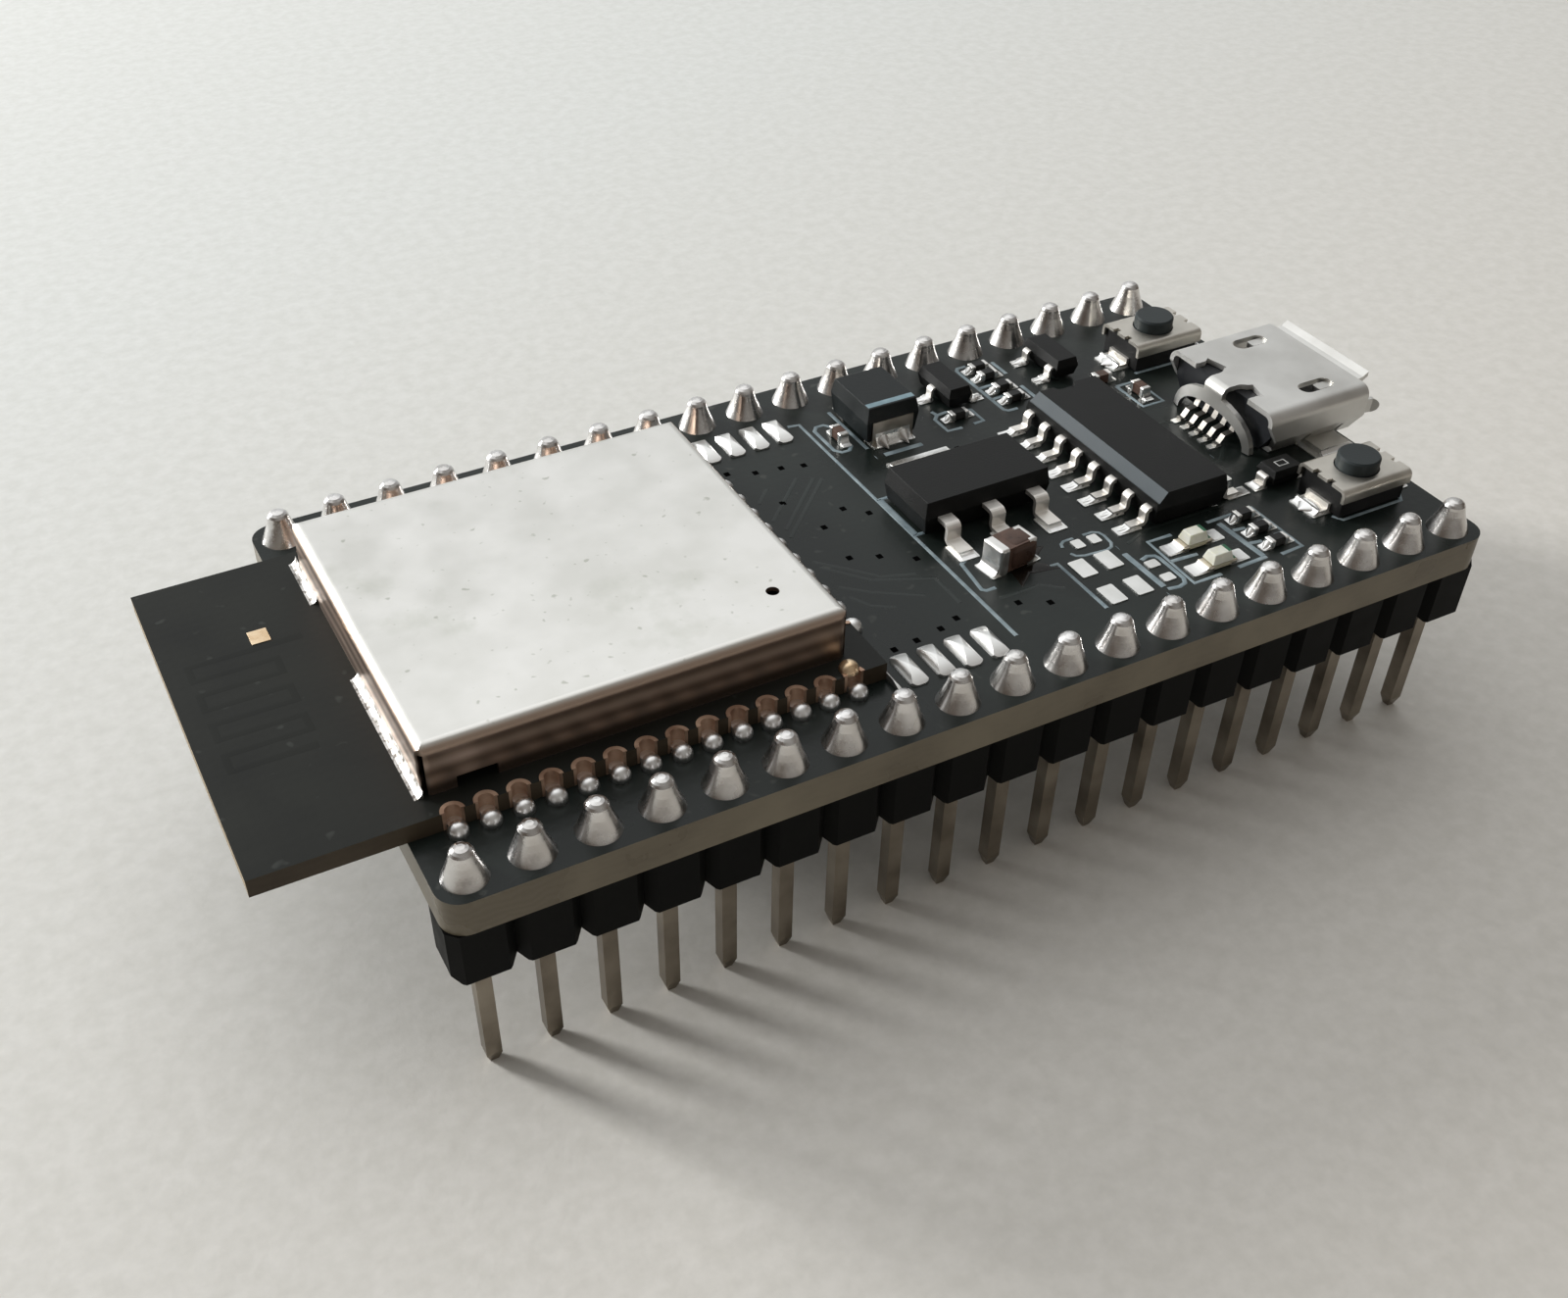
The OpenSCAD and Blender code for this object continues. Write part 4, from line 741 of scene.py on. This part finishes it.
# ---- Lights ----
# Two small lamps: a yellowed fibre base with plated ends, a clear moulded lens and a green mark that
# shows the polarity. Long bright pads run out to the left.
lens_epoxy = surface("lens_epoxy", (0.70, 0.70, 0.60), (0.82, 0.82, 0.73), (0.16, 0.28), 1500)
lens_shader = workings(lens_epoxy)[1]
lens_shader.inputs["Subsurface Weight"].default_value = 0.25
lens_shader.inputs["Subsurface Radius"].default_value = (0.4, 0.35, 0.2)
lens_shader.inputs["Subsurface Scale"].default_value = 0.4 * MM
lens_shader.inputs["Coat Weight"].default_value = 0.4
lens_shader.inputs["Coat Roughness"].default_value = 0.1
dress(lens_epoxy, "led_lenses")
soften("led_lenses", 0.05)
light_base = surface("light_base", (0.50, 0.47, 0.34), (0.62, 0.59, 0.45), (0.4, 0.5), 1200, 9000,
                     0.004)
dress(light_base, "led_bases")
light_ends = surface("light_ends", (0.56, 0.50, 0.40), (0.74, 0.68, 0.58), (0.26, 0.40), 1200,
                     metal=1.0)
dress(light_ends, "led_ends")
green_mark = surface("green_mark", (0.02, 0.10, 0.05), (0.04, 0.16, 0.08), (0.35, 0.45), 1500)
light_low, light_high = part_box("led_bases")
light_x = ((light_low[0] + light_high[0]) / 2 - board_x) / MM
light_rise = (light_high[2] - board_top) / MM
lens_rise = (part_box("led_lenses")[1][2] - board_top) / MM
for number, y in enumerate((-7.25, -8.9)):
    thin_plate("light_mark_%d" % number, light_x + 0.36, y, 0.16, 0.5, lens_rise - print_sink, 0.02,
               0.006, green_mark)
    thin_plate("light_foot_mark_%d" % number, light_x + 0.64, y, 0.2, 0.6, light_rise - print_sink,
               0.02, 0.006, green_mark)


# ---- USB socket ----
# One strip of tinned steel folded round a black insulator, its seam at the back. Its feet are
# soldered to the board, and five bent contacts come out under the folded flap.
shell_steel = surface("shell_steel", (0.60, 0.59, 0.56), (0.73, 0.725, 0.70), (0.36, 0.48), 380,
                      metal=0.95)
score_lines(shell_steel, (1, 0.05, 1), 8000, 0.002)
dress(shell_steel, "usb_shell")
socket_nylon = surface("socket_nylon", (0.008, 0.009, 0.011), (0.016, 0.018, 0.021), (0.35, 0.5),
                       600, 12000, 0.004)
dress(socket_nylon, "usb_insulator")
contact_tin = surface("contact_tin", (0.22, 0.205, 0.185), (0.36, 0.345, 0.32), (0.38, 0.50), 900,
                      9000, 0.002, metal=1.0)
dress(contact_tin, "usb_contacts")


# ---- Push switches ----
# A black moulded base with a folded steel cover, a snap dome and a dark plunger that moves a quarter
# of a millimetre. Flat terminals stand in blobs of solder at both ends.
cover_steel = surface("cover_steel", (0.52, 0.495, 0.44), (0.68, 0.65, 0.59), (0.34, 0.48), 500,
                      9000, 0.002, metal=1.0)
dress(cover_steel, "switch_cover_near", "switch_cover_far")
base_nylon = surface("base_nylon", (0.010, 0.010, 0.010), (0.018, 0.018, 0.018), (0.4, 0.55), 700,
                     14000, 0.005)
dress(base_nylon, "switch_base_near", "switch_base_far")
dress(tinned_lead, "switch_terminals_near", "switch_terminals_far")
dome_steel = surface("dome_steel", (0.55, 0.55, 0.54), (0.68, 0.68, 0.67), (0.2, 0.3), 700, 9000,
                     0.002, metal=1.0)
dress(dome_steel, "switch_dome_near", "switch_dome_far")
plunger_nylon = surface("plunger_nylon", (0.018, 0.024, 0.025), (0.030, 0.038, 0.040), (0.34, 0.48),
                        600, 14000, 0.006)
dress(plunger_nylon, "plunger_near", "plunger_far")
toe_tuck = 0.12


def lead_ends(low, high):
    """Name, X and turn of the solder at the left and right ends of a box round some leads"""
    return (("left", (low[0] - board_x) / MM + toe_tuck, 0),
            ("right", (high[0] - board_x) / MM - toe_tuck, 180))


for side in ("near", "far"):
    low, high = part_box("switch_terminals_" + side)
    y = (low[1] + high[1]) / 2 / MM
    for end, x, turn in lead_ends(low, high):
        put_drop("switch_blob_%s_%s" % (side, end), x, y, pad_level, 0.62, 1.5, 0.30, turn)


# ---- Solder at the leads ----
# Hand and reflow solder wets the lead feet and fans out to a point on the pads beyond their toes.
# The tantalum capacitor stands in two round lumps.
chip_leads = 8
chip_pitch = 1.27
chip_low, chip_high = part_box("serial_chip_leads")
first_lead = (chip_low[1] + chip_high[1]) / 2 / MM - (chip_leads - 1) / 2 * chip_pitch
for end, x, turn in lead_ends(chip_low, chip_high):
    for lead in range(chip_leads):
        put_drop("chip_toe_%s_%d" % (end, lead), x, first_lead + lead * chip_pitch, pad_level, 0.72,
                 0.54, 0.16, turn)
transistor_toes = ((1.0, 0, 180), (-1.0, 0.95, 0), (-1.0, -0.95, 0))
for number, (x, y, turn) in enumerate(((9.4, 8.3, 180), (15.6, 8.2, 0))):
    away = 1 if turn == 0 else -1
    for lead, (out, across, swing) in enumerate(transistor_toes):
        put_drop("transistor_toe_%d_%d" % (number, lead), x + away * out, y + away * across,
                 pad_level, 0.66, 0.72, 0.2, swing + turn)
lump_y = tantalum_low[1] / MM - toe_tuck
for number, shift in enumerate((-0.55, 0.55)):
    put_drop("tantalum_lump_%d" % number, tantalum_x + shift, lump_y, pad_level, 0.5, 0.62, 0.5, 90)

bpy.data.objects.remove(tear)
